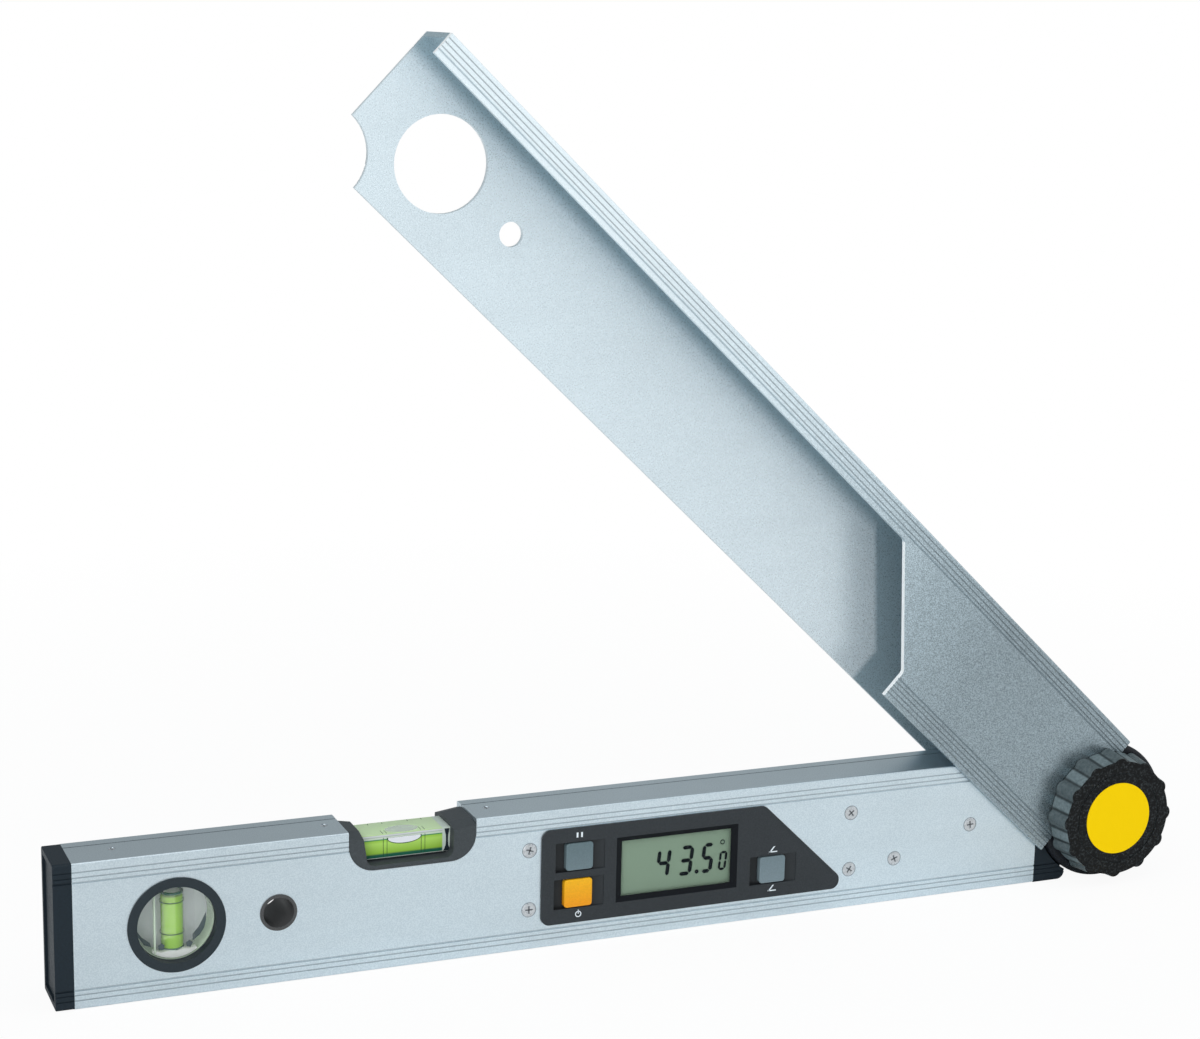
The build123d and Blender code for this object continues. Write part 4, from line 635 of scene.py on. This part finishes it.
# ---- vertical vial: clear disc with a column for the tube, liquid, rings, frosted back ----
def plumb_vial():
    shape = bmesh.new()
    half_depth = Vector((0, 0.0062, 0))
    rod(shape, 0.0174, PLUMB - half_depth, PLUMB + half_depth, 128)
    half_column = Vector((0.0080, 0.0086, 0.0148))
    cuboid(shape, PLUMB - half_column, PLUMB + half_column)
    piece(
        "plumb_vial_clear_body", shape, PLUMB_BODY, "level_bar", "clear_acrylic",
        "plumb_vial_block")

    shape = bmesh.new()
    for side in (-1, 1):
        corners = [(side * x, z) for x, z in circle_points(15.4, range(-80, 81, 4))]
        vial_plate(shape, corners, 0.0021, 0.0003)
    piece("plumb_vial_frosted_back", shape, PLUMB_BACK, "level_bar", "clear_acrylic")

    # the wall round the bore, half clear and pale as a painted highlight
    shape = bmesh.new()
    hoop(shape, PLUMB + Vector((0, -0.0030, 0)), (0, 1, 0), 0.01570, 0.0110, 0.0002, 128)
    piece("plumb_vial_clear_wall", shape, PLUMB_WALL_HIGHLIGHT, "level_bar", "clear_acrylic")

    # painted highlight: a pale strip along the column's left edge
    shape = bmesh.new()
    x, half_width, half_height = PLUMB.x - half_column.x, 0.0003, 0.0130
    cuboid(
        shape, (x - half_width, -0.0088, PLUMB.z - half_height),
        (x + half_width, -0.0070, PLUMB.z + half_height))
    piece("plumb_vial_facet_highlight", shape, PLUMB_WALL_HIGHLIGHT, "level_bar", "clear_acrylic")

    # painted highlight: a pale sheet along the bottom of the body for its glints
    shape = bmesh.new()
    foot = [
        (8.4, -11.4), (6.2, -12.2), (3.4, -11.9), (1.0, -12.4), (-2.2, -12.0), (-5.4, -12.5),
        (-8.8, -11.2), *circle_points(15.2, range(234, 309, 6)),
    ]
    vial_plate(shape, foot, -0.0064, 0.0020)
    piece("plumb_vial_painted_glints", shape, CLEAR_GLINT, "level_bar", "clear_acrylic")

    # painted reflection: dark grey wedges where the ring is reflected in the clear body, and two dark spots near
    # the foot
    shape = bmesh.new()
    right = [
        (13.1, 1.6), (13.0, -2.0), (12.3, -4.9), (10.5, -7.6), (7.5, -9.9), (7.6, -7.0),
        (10.0, -4.4), (11.6, -1.4),
    ]
    left = [
        (-14.9, -2.6), (-12.8, -6.0), (-9.6, -8.6), (-9.0, -10.6), (-12.0, -9.2),
        (-14.3, -5.6),
    ]
    spots = [
        [(x + 1.5, -9.6), (x + 0.2, -8.4), (x - 1.2, -9.3), (x - 1.0, -11.0), (x + 0.6, -11.4)]
        for x in (-5.6, 5.6)
    ]
    for corners, y in ((right, -6.3), (left, -6.3), (spots[0], -8.65), (spots[1], -8.65)):
        vial_plate(shape, corners, y * MM, 0.00012)
    piece("plumb_vial_painted_dark_reflections", shape, PAINTED_DARK_REFLECTION, "level_bar", "clear_acrylic")

    def on_tube(height):
        return TUBE + Vector((0, 0, height))

    shape = bmesh.new()
    rod(shape, 0.0048, on_tube(-0.0122), on_tube(0.0122), 80)
    soften(shape, 0.0005, 3)
    piece(
        "plumb_vial_clear_tube", shape, PLUMB_TUBE, "level_bar", "clear_acrylic",
        "plumb_vial_tube")

    shape = bmesh.new()
    rod(shape, 0.0044, on_tube(-0.0110), on_tube(0.0106), 80)
    soften(shape, 0.0005, 3)
    piece(
        "plumb_vial_green_liquid", shape, PLUMB_LIQUID, "level_bar", "vial_liquid",
        "plumb_vial_liquid")

    shape = bmesh.new()
    for height in (-0.0049, 0.0082):
        hoop(shape, on_tube(height), (0, 0, 1), 0.00484, 0.00036, 0.00010)
    piece("plumb_vial_marker_rings", shape, RING_LINE, "level_bar", "black_plastic")

    # painted shade: dark green hoops at the ends of the tube, where they bend the light
    shape = bmesh.new()
    hoop(shape, on_tube(0.0119), (0, 0, 1), 0.0040, 0.0007, 0.0012)
    hoop(shape, on_tube(-0.0113), (0, 0, 1), 0.0042, 0.0009, 0.0009)
    piece("plumb_vial_tube_painted_rims", shape, PAINTED_DARK_EDGE, "level_bar", "clear_acrylic")

    # painted highlight: a bright disc on top of the tube
    shape = bmesh.new()
    rod(shape, 0.0030, on_tube(0.0121), on_tube(0.0124), 48)
    soften(shape, 0.0001)
    piece("plumb_vial_tube_top_highlight", shape, CLEAR_GLINT, "level_bar", "clear_acrylic")


# ---- display: the glass, the pane over it, the sloped frame, the numbers ----
def display_glass():
    low, high = (Vector(corner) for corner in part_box("lcd_panel"))
    shape = bmesh.new()
    cuboid(shape, low + Vector((0, 0.0001, 0)), high)
    soften(shape, 0.0002)
    piece("display_glass", shape, LCD, "level_bar", "lcd_glass", "lcd_panel")

    low, high = (Vector(corner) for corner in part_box("display_window"))
    shape = bmesh.new()
    cuboid(shape, low, high - Vector((0, 0.0004, 0)))
    soften(shape, 0.0001)
    piece("display_pane", shape, PANE, "level_bar", "display_pane", "display_window")


def display_frame():
    """A sheet painted nearly black as shade on the sloped frame from the panel's face down to the pane."""
    outer = (10.3, 66.8, 16.2, 45.0, -13.33)
    inner = (13.1, 64.0, 18.4, 42.8, -12.03)
    shape = bmesh.new()
    rows = []
    for x0, x1, z0, z1, y in (outer, inner):
        corners = [
            shape.verts.new((x * MM, y * MM, z * MM))
            for x, z in ((x0, z0), (x1, z0), (x1, z1), (x0, z1))
        ]
        rows += [shape.edges.new((corners[i], corners[i - 1])) for i in range(4)]
    bmesh.ops.bridge_loops(shape, edges=rows)
    bmesh.ops.recalc_face_normals(shape, faces=shape.faces)
    if sum(face.normal.y for face in shape.faces) > 0:
        bmesh.ops.reverse_faces(shape, faces=shape.faces)
    bmesh.ops.solidify(shape, geom=shape.faces[:], thickness=0.00004)
    piece("display_frame", shape, FRAME_SHADE, "level_bar", "black_plastic")


SEGMENTS = {
    "a": ((0, 1), (1, 1)), "b": ((1, 1), (1, 0.5)), "c": ((1, 0.5), (1, 0)),
    "d": ((0, 0), (1, 0)), "e": ((0, 0.5), (0, 0)), "f": ((0, 1), (0, 0.5)),
    "g": ((0, 0.5), (1, 0.5)),
}
DIGITS = {"4": "fgbc", "3": "abgcd", "5": "afgcd", "0": "abcdef"}
SLANT = 0.10
TUCK = 0.08
INK_FACE = LCD_FACE - 0.00002
INK_THICKNESS = 0.00005


def digit(shape, figure, left, right, bottom, top, stroke):
    """One figure of seven segments, pointed bars whose ends tuck in a little."""
    width = right - left - stroke - SLANT * (top - bottom)
    height = top - bottom - stroke
    for name in DIGITS[figure]:
        ends = []
        for across, up in SEGMENTS[name]:
            x = left + stroke / 2 + across * width + SLANT * up * (top - bottom)
            ends.append(Vector((x, bottom + stroke / 2 + up * height)))
        way = (ends[1] - ends[0]).normalized()
        side = Vector((-way.y, way.x)) * stroke / 2
        slope = way * stroke / 2
        start, end = ends[0] + way * stroke * TUCK, ends[1] - way * stroke * TUCK
        points = [
            start, start + slope + side, end - slope + side,
            end, end - slope - side, start + slope - side,
        ]
        plate(shape, points, INK_FACE, INK_THICKNESS)


def display_numbers():
    shape = bmesh.new()
    large = (("4", 0.0291, 0.0368), ("3", 0.0395, 0.0474), ("5", 0.0501, 0.0571))
    for figure, left, right in large:
        digit(shape, figure, left, right, 0.0236, 0.0370, 0.00170)
    digit(shape, "0", 0.0586, 0.0632, 0.0240, 0.0326, 0.00110)
    point = Vector((0.0487, INK_FACE, 0.0247))
    rod(shape, 0.00095, point, point - Vector((0, INK_THICKNESS, 0)), 24)
    degree_sign = (0.0606, LCD_FACE - INK_THICKNESS, 0.0367)
    hoop(shape, degree_sign, (0, 1, 0), 0.0009, INK_THICKNESS, 0.0004, 32)
    piece("display_numbers", shape, INK, "level_bar", "black_plastic")


# ---- screw heads: a low dome with a dished middle, a cross recess painted dark as its shade, a painted shadow round it ----
def screw_heads():
    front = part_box("display_screws")[0][1]
    profile = [
        (3.0, 0.0), (2.95, 0.12), (2.7, 0.26), (2.1, 0.34), (1.75, 0.34), (1.55, 0.22),
        (0.0, 0.18),
    ]
    half_arm = Vector((0.0017, 0.00005, 0.00028))
    cross = Vector((0, -0.00025, 0))
    heads, gap_shadows, crosses = bmesh.new(), bmesh.new(), bmesh.new()
    for number, (x, z) in enumerate(SCREWS):
        middle = Vector((x, front, z))
        lathe(heads, middle, (0, -1, 0), [(r * MM, d * MM) for r, d in profile], 40)
        # painted shadow: a dark ring in the gap round the head
        gap_middle = middle - Vector((0, 0.00002, 0))
        hoop(gap_shadows, gap_middle, (0, 1, 0), 0.00318, 0.00006, 0.00030, 48)
        # a dark cross: the cross recess painted dark as its shade
        for quarter in (0, 90):
            turn = Matrix.Rotation(math.radians(quarter + 17 * number), 4, "Y")
            made = cuboid(crosses, cross - half_arm, cross + half_arm)
            place = Matrix.Translation(middle) @ turn
            bmesh.ops.transform(crosses, verts=made, matrix=place)
    piece("screw_heads", heads, STEEL, "level_bar", "steel")
    piece("screw_gap_shadows", gap_shadows, SCREW_GAP_SHADOW, "level_bar", "black_plastic")
    piece("screw_crosses", crosses, SCREW_RECESS_SHADE, "level_bar", "black_plastic")


# ---- plain signs: two bars for hold, a power sign, an angle over and under the mode button ----
def button_signs():
    front, thick = BEZEL_FACE + 0.00001, 0.00005
    shape = bmesh.new()

    def stroke(*corners):
        plate(shape, corners, front, thick)

    def upright(x, half_width, low, high):
        left, right = x - half_width, x + half_width
        stroke((left, low), (right, low), (right, high), (left, high))

    for side in (-1, 1):
        upright(LEFT_BUTTONS + side * 0.0010, 0.0004, 0.0472, 0.0494)
    hoop(shape, (LEFT_BUTTONS, front - thick / 2, 0.0133), (0, 1, 0), 0.0012, thick, 0.0004, 40)
    upright(LEFT_BUTTONS, 0.0002, 0.0134, 0.0152)
    for low, tip in ((0.0301, 0.0328), (0.0124, 0.0151)):
        upright(MODE_BUTTON, 0.0020, low, low + 0.0005)
        stroke(
            (MODE_BUTTON - 0.0020, low), (MODE_BUTTON - 0.0013, low),
            (MODE_BUTTON + 0.0010, tip), (MODE_BUTTON + 0.0003, tip))
    piece("button_signs", shape, PRINT, "level_bar", "grey_button")


# ---- stage, light and camera ----
def backdrop():
    """White where the camera and clear pieces see it; else a studio, brighter in front."""
    world = bpy.data.worlds.new("studio")
    scene.world = world
    world.use_nodes = True
    tree = world.node_tree
    tree.nodes.clear()
    new, link = tree.nodes.new, tree.links.new
    path = new("ShaderNodeLightPath")
    seen = new("ShaderNodeMath")
    seen.operation = "MAXIMUM"
    link(path.outputs["Is Camera Ray"], seen.inputs[0])
    link(path.outputs["Is Transmission Ray"], seen.inputs[1])
    white = new("ShaderNodeBackground")
    white.inputs["Color"].default_value = (*WHITE, 1)
    split = new("ShaderNodeSeparateXYZ")
    link(new("ShaderNodeTexCoord").outputs["Generated"], split.inputs[0])
    front = new("ShaderNodeMapRange")
    link(split.outputs["Y"], front.inputs["Value"])
    for key, value in (("From Min", -0.7), ("From Max", 0.6), ("To Min", 0.72), ("To Max", 0.38)):
        front.inputs[key].default_value = value
    studio = new("ShaderNodeBackground")
    studio.inputs["Color"].default_value = (0.88, 0.95, 0.98, 1)
    link(front.outputs[0], studio.inputs["Strength"])
    mix = new("ShaderNodeMixShader")
    link(seen.outputs[0], mix.inputs[0])
    link(studio.outputs[0], mix.inputs[1])
    link(white.outputs[0], mix.inputs[2])
    link(mix.outputs[0], new("ShaderNodeOutputWorld").inputs["Surface"])


def floor():
    """A pale floor that fades into the white backdrop and keeps a faint shadow."""
    shape = bmesh.new()
    bmesh.ops.create_grid(shape, x_segments=1, y_segments=1, size=4.0)
    bmesh.ops.translate(shape, verts=shape.verts, vec=(0, 0, -0.0002))
    mesh = bpy.data.meshes.new("floor")
    shape.to_mesh(mesh)
    shape.free()
    made = bpy.data.objects.new("floor", mesh)
    scene.collection.objects.link(made)
    finish = Finish("pale_floor")
    finish.put(Base_Color=(0.9, 0.9, 0.9, 1), Roughness=0.9, Specular_IOR_Level=0.1)
    glow = finish.node("Emission", {"Color": (*WHITE, 1), "Strength": 1.0})
    far = finish.node("VectorMath", {0: finish.place}, operation="LENGTH").outputs["Value"]
    fade = finish.rise(far, 0.25, 0.8, 0.93, 1.0)
    path = finish.node("LightPath").outputs
    seen = finish.reckon("MAXIMUM", path["Is Camera Ray"], path["Is Transmission Ray"])
    share = finish.reckon("MULTIPLY", fade, seen)
    mix = finish.node("MixShader", {0: share, 1: finish.shader.outputs[0], 2: glow.outputs[0]})
    finish.tree.links.new(mix.outputs[0], finish.out.inputs["Surface"])
    mesh.materials.append(finish.material)


def lamp(name, place, target, size, power):
    """A rectangular area lamp that faces a target."""
    data = bpy.data.lights.new(name, "AREA")
    data.shape = "RECTANGLE"
    data.size, data.size_y = size
    data.energy = power
    made = bpy.data.objects.new(name, data)
    scene.collection.objects.link(made)
    made.location = place
    aim = Vector(target) - Vector(place)
    made.rotation_euler = aim.to_track_quat("-Z", "Y").to_euler()


def camera():
    """The photograph's camera, solved from the object's straight edges and round holes."""
    data = bpy.data.cameras.new("camera")
    data.sensor_width = 36.0
    data.lens = 73.34
    data.clip_end = 20.0
    made = bpy.data.objects.new("camera", data)
    scene.collection.objects.link(made)
    right = Vector((0.9252, -0.3788, 0.0212)).normalized()
    forward = Vector((0.3747, 0.9037, -0.2070)).normalized()
    up = right.cross(forward).normalized()
    turn = Matrix((right, up, -forward)).transposed()
    made.matrix_world = Matrix.Translation((-0.3740, -0.9137, 0.3889)) @ turn.to_4x4()
    scene.camera = made


top_vial()
plumb_vial()
display_glass()
display_frame()
display_numbers()
screw_heads()
button_signs()
backdrop()
floor()
lamp("key", (-0.9, -1.1, 1.3), (0, 0, 0.12), (1.2, 1.2), 7.5)
lamp("top", (0.1, -0.2, 1.6), (0, 0, 0.1), (1.6, 1.0), 4.5)
lamp("left", (-0.8, -0.9, 0.35), (0.1, 0, 0.15), (0.8, 0.8), 3)
lamp("right", (1.5, -0.5, 0.8), (0.1, 0, 0.12), (0.8, 1.2), 3)
camera()
